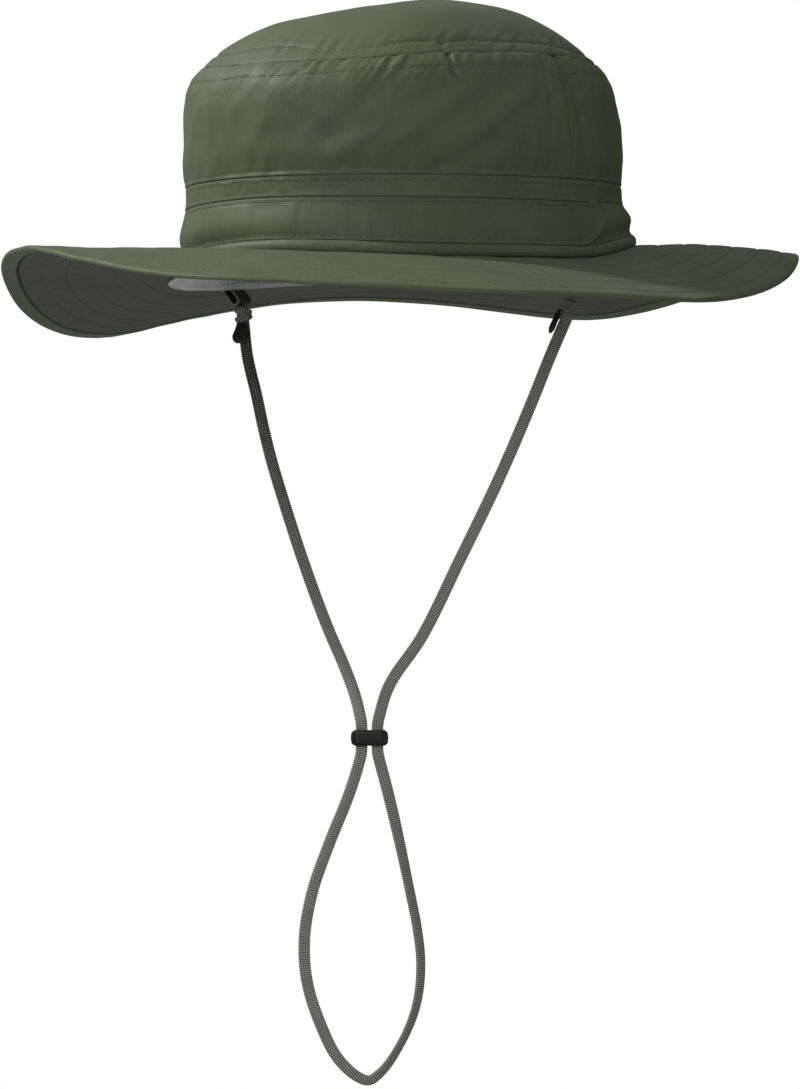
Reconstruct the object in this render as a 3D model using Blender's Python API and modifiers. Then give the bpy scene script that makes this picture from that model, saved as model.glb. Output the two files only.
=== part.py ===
"""Sun hat of woven nylon: a bucket crown, a wide stitched brim, a sweatband and a chin cord.

Metres, +Z up. The front of the hat is -Y and the wearer's left is +X. The origin is the
middle of the head opening, level with the joint between crown and brim.

Angles go round the hat in degrees: 0 at the front, 90 at the wearer's left, 180 at the back
and -90 at the wearer's right. Tables hold shares of the named sizes above them.
"""
import math

import bmesh
import bpy
import numpy as np
from mathutils import Matrix, Vector

# Crown: outer sizes where it meets the brim, and the heights of its seams above that joint
CROWN_LENGTH = 0.208
CROWN_WIDTH = 0.178
WELT_HEIGHT = 0.0048
TAPE_LOW = 0.0178
TAPE_TOP = 0.0252
SEAM_HEIGHT = 0.0748
SHOULDER_SHARE = 0.92
TIP_RISE = 0.0262
CROWN_LEAN = 0.0026
TIP_LEAN = 0.0020
LEAN_ANGLE = -55.0

# Cloth and clearances
CLOTH = 0.0012
WELT_THICKNESS = 0.0026
WELT_PROUD = 0.0009
TAPE_THICKNESS = 0.0016
TAPE_PROUD = 0.0005
SEAM_GAP = 0.0004
LAYER_GAP = 0.0003

# Brim: outer sizes of the rim, its greatest drop, its layers and its turned hem
RIM_LENGTH = 0.3435
RIM_WIDTH = 0.3175
RIM_FORWARD = 0.0035
BRIM_DROP = 0.0330
BRIM_THICKNESS = 0.0015
LINING_THICKNESS = 0.0010
HEM_DEPTH = 0.0062
HEM_ROUND = 0.0007
BRIM_TUCK = 0.0030

# Side seams of the crown and of its lower band, as angles from the front
SIDE_SEAM = 88.0
BAND_SEAM = 93.0

# Sweatband
SWEATBAND_THICKNESS = 0.0012
SWEATBAND_HEIGHT = 0.0270
SWEATBAND_SHOW = 0.0045

# Ear loops of webbing, knots, and the sealed ends of the cord
WEBBING_WIDTH = 0.0095
WEBBING_THICKNESS = 0.0012
WEBBING_SPREAD = 0.0028
WEBBING_OUT = 0.0032
WEBBING_GAP = 0.0010
KNOT_WIDTH = 0.0074
KNOT_DEPTH = 0.0056
KNOT_LENGTH = 0.0068
KNOT_GAP = 0.0008
END_WIDTH = 0.0066
END_THICKNESS = 0.0024
END_LENGTH = 0.0076
END_TAPER = 0.72
END_ASIDE = 0.0016

# Chin cord and its two-hole toggle
CORD_WIDTH = 0.0048
CORD_THICKNESS = 0.0018
CORD_GAP = 0.00035
CORD_STEP = 0.0100
CORD_STRAIGHT = 0.0030
CORD_DROP = 0.3415
LOOP_PLANE = 35.0
TOGGLE_WIDTH = 0.0152
TOGGLE_HEIGHT = 0.0064
TOGGLE_DEPTH = 0.0070
TOGGLE_WEB = 0.0010
TOGGLE_ROUND = 0.0016
TOGGLE_ACROSS = -0.01515
TOGGLE_UP = -0.2008

# How finely the round pieces are faceted
AROUND = 60
KNOT_SIDES = 12
EDGE_STEPS = 2
CORD_EDGE_STEPS = 1

# Rounded edges: the knot's in shares of its length, the sealed end's in shares of its
# thickness, the toggle slot's in shares of the cord's thickness
KNOT_ROUND = 0.14
END_ROUND = 0.30
SLOT_ROUND = 0.40

# Share of the wall below the shoulder over which the folds fade out, and how much of the
# lining's slope the outer leg of a webbing loop follows
FOLD_FADE = 0.25
LEG_TRIM = 0.60

# Colour and roughness of each material
FINISHES = {
    "olive woven nylon": ("4c5740", 0.62),
    "dark grey lining": ("3d3c39", 0.75),
    "light grey knit": ("9a9a98", 0.85),
    "black webbing": ("15140f", 0.55),
    "grey braided cord": ("646462", 0.70),
    "black moulded plastic": ("121210", 0.40),
}

# Rows of the side panels from the tape to the shoulder, of the lower band from the welt to
# the tape, and of the lining from the hem to the head opening, in shares of each height
SIDE_ROWS = (0.0, 0.28, 0.54, 0.80, 1.0)
BAND_ROWS = (0.0, 0.36, 0.70, 1.0)
LINING_ROWS = (1.0, 0.76, 0.40, 0.0)

# The welt's rolled face: height in shares of the welt's height, swell in shares of its depth
WELT_SECTION = (
    (0.36, 1.0),
    (0.75, 0.7),
)

# The joint with the brim, the tape lines and the tip seam are not level all round.
# angle, joint in shares of the brim drop, tape and seam in shares of the tape height
CROWN_WAVES = np.array((
    (-170, -0.18, -0.04, 0.00),
    (-140, -0.17, -0.06, -0.02),
    (-110, -0.26, -0.08, -0.02),
    (-90, -0.33, -0.09, -0.03),
    (-70, -0.35, -0.09, -0.04),
    (-50, -0.30, -0.08, -0.06),
    (-25, -0.21, -0.04, -0.12),
    (0, -0.15, 0.00, -0.12),
    (22, -0.17, 0.01, -0.11),
    (45, -0.20, 0.01, -0.01),
    (70, -0.20, 0.01, 0.05),
    (92, -0.17, 0.01, 0.07),
    (112, -0.04, 0.01, 0.05),
    (128, 0.04, 0.01, 0.04),
    (150, -0.02, 0.00, 0.03),
    (172, -0.14, -0.02, 0.01),
))

# Outline of the crown wall: height in shares of the seam height, reach in shares of the
# crown's half width and half length
CROWN_OUTLINE = np.array((
    (0.000, 1.000),
    (0.060, 0.990),
    (0.140, 0.978),
    (0.235, 0.953),
    (0.330, 0.948),
    (0.480, 0.956),
    (0.640, 0.949),
    (0.800, 0.936),
    (0.880, 0.919),
    (0.940, 0.894),
    (1.000, 0.851),
))

# Outline of the tip: distance from the middle in shares of the seam's reach, height in
# shares of the tip's rise
TIP_OUTLINE = np.array((
    (0.00, 1.000),
    (0.25, 0.935),
    (0.48, 0.810),
    (0.68, 0.660),
    (0.80, 0.480),
    (0.90, 0.270),
    (1.00, 0.000),
))

# Soft folds of the crown wall: angle and height share of the middle, half length and half
# width in shares of the seam height, lean from upright in degrees, depth in cloths
CROWN_FOLDS = (
    (14, 0.66, 0.30, 0.10, 48, -1.0),
    (26, 0.48, 0.26, 0.09, 55, 0.9),
    (42, 0.62, 0.42, 0.12, 50, 0.7),
    (54, 0.52, 0.34, 0.09, 44, -0.8),
    (66, 0.66, 0.34, 0.11, 46, 0.8),
    (82, 0.52, 0.42, 0.06, 6, -0.8),
    (92, 0.52, 0.40, 0.05, 2, 0.6),
    (-48, 0.50, 0.34, 0.10, -40, 0.7),
    (-78, 0.60, 0.32, 0.10, -46, -0.8),
    (-128, 0.54, 0.36, 0.11, -42, 0.8),
    (138, 0.56, 0.36, 0.11, 44, 0.8),
    (176, 0.50, 0.34, 0.10, 38, -0.8),
)

# The brim's wave: angle, then the rim's height and the rise of the brim's middle above a
# straight line from joint to rim, both in shares of the brim drop
BRIM_WAVES = np.array((
    (-173, -0.71, 0.05),
    (-155, -0.55, 0.06),
    (-143, -0.45, 0.06),
    (-128, -0.46, 0.05),
    (-110, -0.69, 0.02),
    (-90, -1.00, -0.02),
    (-80, -0.94, -0.03),
    (-68, -0.70, -0.04),
    (-55, -0.33, -0.04),
    (-42, -0.13, -0.02),
    (-30, -0.06, 0.03),
    (-15, -0.23, 0.10),
    (0, -0.44, 0.13),
    (20, -0.55, 0.10),
    (45, -0.66, 0.07),
    (70, -0.71, 0.07),
    (85, -0.73, 0.08),
    (97, -0.61, 0.11),
    (110, -0.38, 0.12),
    (125, -0.07, 0.07),
    (145, -0.15, 0.06),
    (165, -0.41, 0.05),
))

# Rows of the brim from the joint to the rim, in shares of its width
BRIM_ROWS = (0.0, 0.20, 0.42, 0.64, 0.82, 0.94, 1.0)

# Route of the chin cord in the upright plane of its loop: across to the right and away from
# the front, in shares of the crown's width, and up, in shares of the cord's drop. First from
# the right ear's knot down to the toggle.
CORD_DOWN = (
    (-0.380, 0.264, -0.088),
    (-0.373, 0.253, -0.122),
    (-0.349, 0.223, -0.176),
    (-0.332, 0.201, -0.217),
    (-0.315, 0.182, -0.252),
    (-0.289, 0.158, -0.297),
    (-0.240, 0.116, -0.375),
    (-0.175, 0.067, -0.465),
    (-0.148, 0.049, -0.497),
    (-0.116, 0.019, -0.542),
)

# Then round the hanging loop under the toggle
CORD_LOOP = (
    (-0.115, -0.002, -0.628),
    (-0.130, -0.007, -0.652),
    (-0.179, -0.011, -0.716),
    (-0.217, -0.017, -0.773),
    (-0.235, -0.020, -0.829),
    (-0.232, -0.019, -0.870),
    (-0.199, -0.015, -0.930),
    (-0.151, -0.008, -0.977),
    (-0.115, -0.002, -0.994),
    (-0.087, 0.001, -1.000),
    (-0.062, 0.004, -0.991),
    (-0.017, 0.009, -0.959),
    (0.022, 0.015, -0.911),
    (0.033, 0.017, -0.858),
    (0.024, 0.018, -0.815),
    (0.010, 0.016, -0.778),
    (-0.046, 0.004, -0.647),
)

# And from the toggle up to the left ear's knot
CORD_UP = (
    (-0.045, -0.022, -0.531),
    (0.033, -0.066, -0.468),
    (0.122, -0.117, -0.374),
    (0.218, -0.176, -0.269),
    (0.284, -0.221, -0.188),
    (0.330, -0.254, -0.128),
    (0.363, -0.269, -0.088),
)

# How the flat of the cord turns out of its loop's plane: share of its length, degrees
CORD_TWIST = np.array((
    (0.00, 0),
    (0.42, 0),
    (0.47, 10),
    (0.52, 55),
    (0.56, 48),
    (0.64, 40),
    (0.69, 0),
    (1.00, 0),
))


def smooth_read(knots, values, at, period=None):
    """Read a curve through the table's points: a cubic whose slope at each row is the mean
    slope of its neighbours. With a period the table joins up with itself."""
    knots = np.asarray(knots, float)
    values = np.asarray(values, float)
    at = np.asarray(at, float)
    if period is not None:
        knots = np.concatenate((knots[-2:] - period, knots, knots[:2] + period))
        values = np.concatenate((values[-2:], values, values[:2]))
        at = (at - knots[2]) % period + knots[2]
    slopes = np.gradient(values, knots)
    row = np.clip(np.searchsorted(knots, at, side="right") - 1, 0, len(knots) - 2)
    span = knots[row + 1] - knots[row]
    part = (at - knots[row]) / span
    square = part * part
    cube = square * part
    start = (2 * cube - 3 * square + 1) * values[row] + (cube - 2 * square + part) * span * slopes[row]
    end = (3 * square - 2 * cube) * values[row + 1] + (cube - square) * span * slopes[row + 1]
    return start + end


def ellipse(angles, half_length, half_width):
    """Plan positions round the hat: the front is -Y and the wearer's left +X."""
    turn = np.radians(angles)
    return half_width * np.sin(turn), -half_length * np.cos(turn)


def wave(angles, column):
    """Height of one of the crown's lines above or below its level place."""
    unit = BRIM_DROP if column == 1 else TAPE_TOP
    return unit * smooth_read(CROWN_WAVES[:, 0], CROWN_WAVES[:, column], angles, 360)


def joint_height(angles):
    return wave(angles, 1)


def wall_height(angles, level):
    """Real height of a line that is drawn at this level on a hat without waves."""
    tape_middle = (TAPE_LOW + TAPE_TOP) / 2
    low = np.clip((level - WELT_HEIGHT) / (tape_middle - WELT_HEIGHT), 0, 1)
    high = np.clip((level - tape_middle) / (SEAM_HEIGHT - tape_middle), 0, 1)
    near_joint = (1 - low) * joint_height(angles)
    return level + near_joint + low * (1 - high) * wave(angles, 2) + high * wave(angles, 3)


def fold_depth(angles, level):
    """How far the soft folds push the wall out or in: each is a long soft ridge."""
    total = np.zeros(np.broadcast(angles, level).shape)
    for middle, share, half_long, half_wide, lean, depth in CROWN_FOLDS:
        turn = (angles - middle + 180) % 360 - 180
        across = np.radians(turn) * CROWN_WIDTH / 2 / SEAM_HEIGHT
        up = level / SEAM_HEIGHT - share
        tilt = math.radians(lean)
        along = across * math.sin(tilt) + up * math.cos(tilt)
        aside = across * math.cos(tilt) - up * math.sin(tilt)
        total += depth * CLOTH * np.exp(-(along / half_long) ** 2 - (aside / half_wide) ** 2)
    shoulder = SHOULDER_SHARE * SEAM_HEIGHT
    return total * np.clip((shoulder - level) / (shoulder - TAPE_TOP) / FOLD_FADE, 0, 1)


def wall_point(angles, level, inset=0.0, folds=True):
    """A point of the crown's wall, moved inwards by inset."""
    share = np.clip(level / SEAM_HEIGHT, 0, 1)
    reach = smooth_read(CROWN_OUTLINE[:, 0], CROWN_OUTLINE[:, 1], share)
    push = fold_depth(angles, level) if folds else 0.0
    x, y = ellipse(angles, reach * CROWN_LENGTH / 2 - inset + push,
                   reach * CROWN_WIDTH / 2 - inset + push)
    lean_x, lean_y = ellipse(LEAN_ANGLE, CROWN_LEAN * level / SEAM_HEIGHT,
                             CROWN_LEAN * level / SEAM_HEIGHT)
    return np.stack(np.broadcast_arrays(x + lean_x, y + lean_y, wall_height(angles, level)), -1)


def tip_point(angles, share):
    """A point of the tip, share 1 at its seam and 0 in the middle."""
    edge = wall_point(angles, SEAM_HEIGHT, folds=False)
    middle_x, middle_y = ellipse(LEAN_ANGLE, CROWN_LEAN, CROWN_LEAN)
    rise = TIP_RISE * smooth_read(TIP_OUTLINE[:, 0], TIP_OUTLINE[:, 1], share)
    lean = -TIP_LEAN * 4 * share * (1 - share) * np.cos(np.radians(angles - LEAN_ANGLE))
    return np.stack(np.broadcast_arrays(
        middle_x + (edge[..., 0] - middle_x) * share,
        middle_y + (edge[..., 1] - middle_y) * share,
        SEAM_HEIGHT + (edge[..., 2] - SEAM_HEIGHT) * share + rise + lean), -1)


def brim_point(angles, share, below=0.0):
    """A point of the brim, share 0 at the crown and 1 at the rim, below its upper face."""
    inner_x, inner_y = ellipse(angles, CROWN_LENGTH / 2 - BRIM_TUCK, CROWN_WIDTH / 2 - BRIM_TUCK)
    rim_x, rim_y = ellipse(angles, RIM_LENGTH / 2 - HEM_ROUND, RIM_WIDTH / 2 - HEM_ROUND)
    joint = joint_height(angles)
    rim = BRIM_DROP * smooth_read(BRIM_WAVES[:, 0], BRIM_WAVES[:, 1], angles, 360)
    rise = BRIM_DROP * smooth_read(BRIM_WAVES[:, 0], BRIM_WAVES[:, 2], angles, 360)
    height = joint + (rim - joint) * share + rise * 4 * share * (1 - share)
    return np.stack(np.broadcast_arrays(
        inner_x + (rim_x - inner_x) * share,
        inner_y + (rim_y - RIM_FORWARD - inner_y) * share,
        height - below), -1)


def brim_width(angles):
    """Plan distance from the brim's inner edge to its rim."""
    across = brim_point(angles, 1.0) - brim_point(angles, 0.0)
    return np.linalg.norm(across[..., :2], axis=-1)


def cord_axes():
    """Unit vectors of the loop's plane: across, and away from the front."""
    turn = math.radians(LOOP_PLANE)
    across = np.array((math.cos(turn), math.sin(turn), 0.0))
    away = np.array((-math.sin(turn), math.cos(turn), 0.0))
    return across, away


def slot_width():
    """Width of each of the toggle's two slots."""
    return CORD_WIDTH + 2 * CORD_GAP


def slot_place(side):
    """How far a slot's middle is from the toggle's, to the right (-1) or the left (1)."""
    return side * (slot_width() + TOGGLE_WEB) / 2


def mouth(side, end):
    """Where the straight run of cord through a slot ends, above (1) or below (-1) it."""
    return (TOGGLE_ACROSS + slot_place(side), 0.0, TOGGLE_UP + end * (TOGGLE_HEIGHT / 2 + CORD_STRAIGHT))


def cord_points():
    """The cord's route: smooth curves above, below and again above the toggle, with points
    about a fixed step apart, joined by straight runs through its slots."""
    across, away = cord_axes()
    points = []
    for start, table, stop in (((), CORD_DOWN, (mouth(-1, 1),)),
                               ((mouth(-1, -1),), CORD_LOOP, (mouth(1, -1),)),
                               ((mouth(1, 1),), CORD_UP, ())):
        sized = [(row[0] * CROWN_WIDTH, row[1] * CROWN_WIDTH, row[2] * CORD_DROP) for row in table]
        route = np.array([*start, *sized, *stop]) @ np.array((across, away, (0, 0, 1)))
        reach = np.concatenate(((0,), np.cumsum(np.linalg.norm(np.diff(route, axis=0), axis=1))))
        at = np.linspace(0, reach[-1], round(reach[-1] / CORD_STEP) + 1)
        points.append(np.stack([smooth_read(reach, route[:, axis], at) for axis in range(3)], -1))
    return np.concatenate(points)


def ring_angles():
    return np.arange(AROUND) * 360.0 / AROUND


def span_angles(first, last, gap_angle):
    """The ring's own angles between two seams, with an end close to each seam."""
    step = 360.0 / AROUND
    start = first + gap_angle
    stop = last - gap_angle
    inner = np.arange(math.ceil(start / step + 0.2), math.floor(stop / step - 0.2) + 1) * step
    return np.concatenate(((start,), inner, (stop,)))


# Blender objects

def cord_tilts(points):
    """Roll of each point that lays the cord's flat as the twist table says. The curve's own
    frame starts square to the first step and is carried along without turning."""
    away = cord_axes()[1]
    steps = np.diff(points, axis=0)
    steps /= np.linalg.norm(steps, axis=1)[:, None]
    ways = np.concatenate((steps[:1], steps[:-1] + steps[1:], steps[-1:]))
    ways = [Vector(way).normalized() for way in ways]
    twist = np.interp(np.linspace(0, 1, len(points)), CORD_TWIST[:, 0], CORD_TWIST[:, 1])
    carried = (-ways[0]).to_track_quat("-Z", "Y") @ Vector((0, 1, 0))
    last = ways[0]
    tilts = []
    for way in ways:
        carried.rotate(last.rotation_difference(way))
        last = way
        wanted = Vector(away).cross(way)
        tilts.append(math.atan2(carried.cross(wanted).dot(way), carried.dot(wanted)))
    return np.unwrap(tilts) + np.radians(twist)


def to_linear(hex_colour):
    """An sRGB colour such as 4f5a41 as linear red, green, blue and alpha."""
    parts = [int(hex_colour[at:at + 2], 16) / 255 for at in (0, 2, 4)]
    return [part / 12.92 if part <= 0.04045 else ((part + 0.055) / 1.055) ** 2.4 for part in parts] + [1]


def finish(name):
    """One of the materials in the finish table."""
    colour, roughness = FINISHES[name]
    material = bpy.data.materials.new(name)
    material.use_nodes = True
    shader = material.node_tree.nodes["Principled BSDF"]
    shader.inputs["Base Color"].default_value = to_linear(colour)
    shader.inputs["Roughness"].default_value = roughness
    return material


def place(name, mesh, material, collection):
    piece = bpy.data.objects.new(name, mesh)
    collection.objects.link(piece)
    mesh.materials.clear()
    mesh.materials.append(material)
    return piece


def grid_mesh(name, rows, joined, cap=None, closed=False):
    """A sheet through rows of points. Joined sheets close round the hat, closed ones also
    join their last row to the first, and a cap closes the last row with a point."""
    count, around = rows.shape[:2]
    corners = rows.reshape(-1, 3).tolist()
    faces = []
    for row in range(count if closed else count - 1):
        above = (row + 1) % count
        for column in range(around if joined else around - 1):
            right = (column + 1) % around
            faces.append((row * around + column, row * around + right,
                          above * around + right, above * around + column))
    if cap is not None:
        last = (count - 1) * around
        faces += [(last + column, last + (column + 1) % around, len(corners)) for column in range(around)]
        corners.append(list(cap))
    mesh = bpy.data.meshes.new(name)
    mesh.from_pydata(corners, [], faces)
    return mesh


def cloth_sheet(name, rows, thickness, material, collection, joined=True, cap=None):
    """Cloth as an open sheet whose wall is added on its inner side."""
    mesh = grid_mesh(name, rows, joined, cap)
    mesh.shade_smooth()
    piece = place(name, mesh, material, collection)
    wall = piece.modifiers.new("wall", "SOLIDIFY")
    wall.thickness = thickness
    wall.offset = -1.0
    return piece


def ring_loft(name, sections, material, collection):
    """A ring whose closed section changes round the hat: sections are rows of points, one
    row for each corner of the section."""
    mesh = grid_mesh(name, sections, True, closed=True)
    shape = bmesh.new()
    shape.from_mesh(mesh)
    bmesh.ops.recalc_face_normals(shape, faces=shape.faces)
    shape.to_mesh(mesh)
    shape.free()
    return place(name, mesh, material, collection)


def wall_rows(angles, levels, inset=0.0):
    return np.stack([wall_point(angles, np.full(angles.shape, level), inset) for level in levels])


def make_tip(material, collection):
    angles = ring_angles()
    shares = [share for share in TIP_OUTLINE[::-1, 0] if share > 0]
    shares[0] = 1 - SEAM_GAP / CROWN_WIDTH
    rows = np.stack([tip_point(angles, np.full(angles.shape, share)) for share in shares])
    middle = tip_point(np.zeros(1), np.zeros(1))[0]
    cloth_sheet("crown_tip", rows, CLOTH, material, collection, cap=middle)


def make_sides(material, collection):
    """Front and back panels of the crown wall, sewn together at the sides."""
    low = TAPE_TOP + SEAM_GAP
    levels = [low + (SHOULDER_SHARE * SEAM_HEIGHT - low) * share for share in SIDE_ROWS]
    levels.append(SEAM_HEIGHT - SEAM_GAP / 2)
    gap_angle = math.degrees(SEAM_GAP / CROWN_WIDTH)
    for name, first, last in (("crown_side_front", -SIDE_SEAM, SIDE_SEAM),
                              ("crown_side_back", SIDE_SEAM, 360 - SIDE_SEAM)):
        rows = wall_rows(span_angles(first, last, gap_angle), levels)
        cloth_sheet(name, rows, CLOTH, material, collection, joined=False)


def make_bands(material, collection):
    """Lower band of the crown in a front and a back piece."""
    low = WELT_HEIGHT + SEAM_GAP
    high = TAPE_LOW - SEAM_GAP
    levels = [low + (high - low) * share for share in BAND_ROWS]
    gap_angle = math.degrees(SEAM_GAP / CROWN_WIDTH)
    for name, first, last in (("band_front", -BAND_SEAM, BAND_SEAM),
                              ("band_back", BAND_SEAM, 360 - BAND_SEAM)):
        rows = wall_rows(span_angles(first, last, gap_angle), levels)
        cloth_sheet(name, rows, CLOTH, material, collection, joined=False)


def wall_ring(name, corners, material, collection):
    """A ring on the crown wall: corners are pairs of level and distance out of the wall."""
    angles = ring_angles()
    sections = np.stack([wall_point(angles, np.full(angles.shape, level), -out, folds=False)
                         for level, out in corners])
    ring_loft(name, sections, material, collection)


def make_tape(material, collection):
    low = TAPE_LOW + SEAM_GAP / 2
    high = TAPE_TOP - SEAM_GAP / 2
    corners = ((low, TAPE_PROUD), ((low + high) / 2, 0.0), (high, TAPE_PROUD),
               (high, -TAPE_THICKNESS), (low, -TAPE_THICKNESS))
    wall_ring("crown_tape", corners, material, collection)


def make_welt(material, collection):
    high = WELT_HEIGHT - SEAM_GAP / 2
    rolled = [(WELT_HEIGHT * share, WELT_PROUD * swell) for share, swell in WELT_SECTION]
    inner = [(high, 0.0), (high, -WELT_THICKNESS), (SEAM_GAP, -WELT_THICKNESS)]
    corners = [(SEAM_GAP, 0.0)] + rolled + inner
    wall_ring("crown_welt", corners, material, collection)


def lining_share(angles, clearance):
    """Share of the brim's width where the turned hem begins."""
    return 1 - (HEM_DEPTH + clearance) / brim_width(angles)


def make_brim(material, collection):
    """Upper brim: one cloth over a thin filling, turned under at the rim as a hem."""
    angles = ring_angles()
    full = BRIM_THICKNESS + LAYER_GAP + LINING_THICKNESS
    top = [brim_point(angles, share) for share in BRIM_ROWS]
    nose = brim_point(angles, 1 + HEM_ROUND / brim_width(angles), full / 2)
    hem = lining_share(angles, 0.0)
    turned = [nose, brim_point(angles, 1.0, full), brim_point(angles, hem, full),
              brim_point(angles, hem, BRIM_THICKNESS)]
    under = [brim_point(angles, share, BRIM_THICKNESS) for share in BRIM_ROWS[-3::-1]]
    ring_loft("brim", np.stack(top + turned + under), material, collection)


def make_lining(material, collection):
    """Dark cloth under the brim, from the head opening to the hem."""
    angles = ring_angles()
    edge = lining_share(angles, LAYER_GAP)
    rows = np.stack([brim_point(angles, edge * share, BRIM_THICKNESS + LAYER_GAP) for share in LINING_ROWS])
    cloth_sheet("brim_lining", rows, LINING_THICKNESS, material, collection)


def make_sweatband(material, collection):
    angles = ring_angles()
    levels = (-SWEATBAND_SHOW, WELT_HEIGHT, SWEATBAND_HEIGHT - SWEATBAND_SHOW)
    inset = BRIM_TUCK + LAYER_GAP
    rows = np.stack([wall_point(angles, np.full(angles.shape, level), inset, folds=False)
                     for level in levels])
    cloth_sheet("sweatband", rows, SWEATBAND_THICKNESS, material, collection)


def frame_matrix(right, up, origin):
    """Placement whose X runs along right and whose Y runs along up, square to each other."""
    up = Vector(up).normalized()
    right = Vector(right)
    right = (right - up * right.dot(up)).normalized()
    out = right.cross(up)
    matrix = Matrix((right, up, out)).transposed().to_4x4()
    matrix.translation = Vector(origin)
    return matrix


def flat_curve(name, points, width, thickness, material, collection):
    """A flat strap or cord: a curve with its width across and filled ends."""
    curve = bpy.data.curves.new(name, "CURVE")
    curve.dimensions = "3D"
    curve.twist_mode = "MINIMUM"
    curve.fill_mode = "FULL"
    curve.extrude = (width - thickness) / 2
    curve.bevel_depth = thickness / 2
    curve.bevel_resolution = CORD_EDGE_STEPS
    curve.use_fill_caps = True
    spline = curve.splines.new("POLY")
    spline.points.add(len(points) - 1)
    for corner, point in zip(spline.points, points):
        corner.co = (*point, 1)
    return place(name, curve, material, collection)


def knot_end(side):
    """Where the cord meets the knot of this ear, and the way from the cord to the knot."""
    points = cord_points()
    near, far = (points[0], points[1]) if side < 0 else (points[-1], points[-2])
    return near, (near - far) / np.linalg.norm(near - far)


def make_ear(side, word, turned, webbing, braid, collection):
    """One ear: a folded webbing loop under the brim, the cord's knot, and its sealed end."""
    across, away = cord_axes()
    broad, thin = (away, across) if turned else (across, away)
    start, way = knot_end(side)
    knot_way = (way + np.array((0, 0, 1.0))) / np.linalg.norm(way + np.array((0, 0, 1.0)))
    knot_middle = start + knot_way * (KNOT_GAP + KNOT_LENGTH / 2)
    bpy.ops.mesh.primitive_cylinder_add(vertices=KNOT_SIDES, radius=0.5, depth=1.0)
    knot = bpy.context.active_object
    knot.name = "cord_knot_" + word
    knot.data.transform(Matrix.Diagonal((KNOT_WIDTH, KNOT_LENGTH, KNOT_DEPTH, 1))
                        @ Matrix.Rotation(math.pi / 2, 4, "X"))
    knot.data.transform(frame_matrix(broad, knot_way, knot_middle))
    dress_primitive(knot, KNOT_LENGTH * KNOT_ROUND, braid, collection)

    lean_room = KNOT_WIDTH / 2 * math.sqrt(1 - knot_way[2] ** 2)
    foot = knot_middle + knot_way * (KNOT_LENGTH / 2 + LAYER_GAP + WEBBING_THICKNESS / 2 + lean_room)
    angle = np.array((side * math.degrees(math.acos(-foot[1] * 2 / CROWN_LENGTH)),))
    full = BRIM_THICKNESS + LAYER_GAP + LINING_THICKNESS + WEBBING_GAP
    anchor = brim_point(angle, WEBBING_OUT / brim_width(angle), full)[0]
    up = np.array((anchor[0] - foot[0], 0, anchor[2] - foot[2]))
    rise = np.linalg.norm(up)
    radius = WEBBING_SPREAD / 2
    trim = radius * abs(up[0]) / up[2]
    bend = [(radius * math.cos(turn), radius * math.sin(turn) + radius, 0)
            for turn in np.radians((0, -30, -60, -90, -120, -150, -180))]
    path = [(radius, rise + trim * LEG_TRIM, 0)] + bend + [(-radius, rise - trim, 0)]
    loop = flat_curve("webbing_loop_" + word, path, WEBBING_WIDTH, WEBBING_THICKNESS,
                      webbing, collection)
    loop.matrix_world = frame_matrix((side, 0, 0), up, foot)

    down = -way
    lift = CORD_THICKNESS if not turned else CORD_WIDTH
    offset = (lift + END_THICKNESS) / 2 + LAYER_GAP
    aside = -across * END_ASIDE if not turned else 0 * across
    out = thin - way * np.dot(thin, way)
    out /= np.linalg.norm(out)
    middle = start + down * (END_LENGTH / 2 + LAYER_GAP) - out * offset + aside
    bpy.ops.mesh.primitive_cube_add(size=1)
    tail = bpy.context.active_object
    tail.name = "cord_end_" + word
    for corner in tail.data.vertices:
        if corner.co.y > 0:
            corner.co.x *= END_TAPER
    tail.data.transform(Matrix.Diagonal((END_WIDTH, END_LENGTH, END_THICKNESS, 1)))
    tail.data.transform(frame_matrix(broad, way, middle))
    dress_primitive(tail, END_THICKNESS * END_ROUND, webbing, collection)


def dress_primitive(piece, bevel, material, collection):
    """Move a new primitive to the hat's collection, with its material and rounded edges."""
    for owner in list(piece.users_collection):
        owner.objects.unlink(piece)
    collection.objects.link(piece)
    piece.data.materials.clear()
    piece.data.materials.append(material)
    rounding = piece.modifiers.new("rounded edges", "BEVEL")
    rounding.width = bevel
    rounding.segments = EDGE_STEPS
    rounding.limit_method = "ANGLE"
    piece.data.shade_smooth()


def make_toggle(material, collection, cutters):
    """Two-hole toggle with a slot for each strand of the cord."""
    across, away = cord_axes()
    middle = across * TOGGLE_ACROSS + np.array((0, 0, TOGGLE_UP))
    bpy.ops.mesh.primitive_cube_add(size=1)
    toggle = bpy.context.active_object
    toggle.name = "cord_toggle"
    toggle.data.transform(Matrix.Diagonal((TOGGLE_WIDTH, TOGGLE_HEIGHT, TOGGLE_DEPTH, 1)))
    toggle.data.transform(frame_matrix(across, (0, 0, 1), middle))
    dress_primitive(toggle, TOGGLE_ROUND, material, collection)
    for side in (-1, 1):
        bpy.ops.mesh.primitive_cube_add(size=1)
        cutter = bpy.context.active_object
        cutter.name = "toggle_slot_" + ("right" if side < 0 else "left")
        cutter.data.transform(Matrix.Diagonal((slot_width(), TOGGLE_HEIGHT * 2,
                                               CORD_THICKNESS + 2 * CORD_GAP, 1)))
        cutter.data.transform(frame_matrix(across, (0, 0, 1), middle + across * slot_place(side)))
        dress_primitive(cutter, CORD_THICKNESS * SLOT_ROUND, material, cutters)
        cutter.hide_render = True
        cutter.display_type = "WIRE"
        slot = toggle.modifiers.new(cutter.name, "BOOLEAN")
        slot.operation = "DIFFERENCE"
        slot.solver = "EXACT"
        slot.object = cutter


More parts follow.
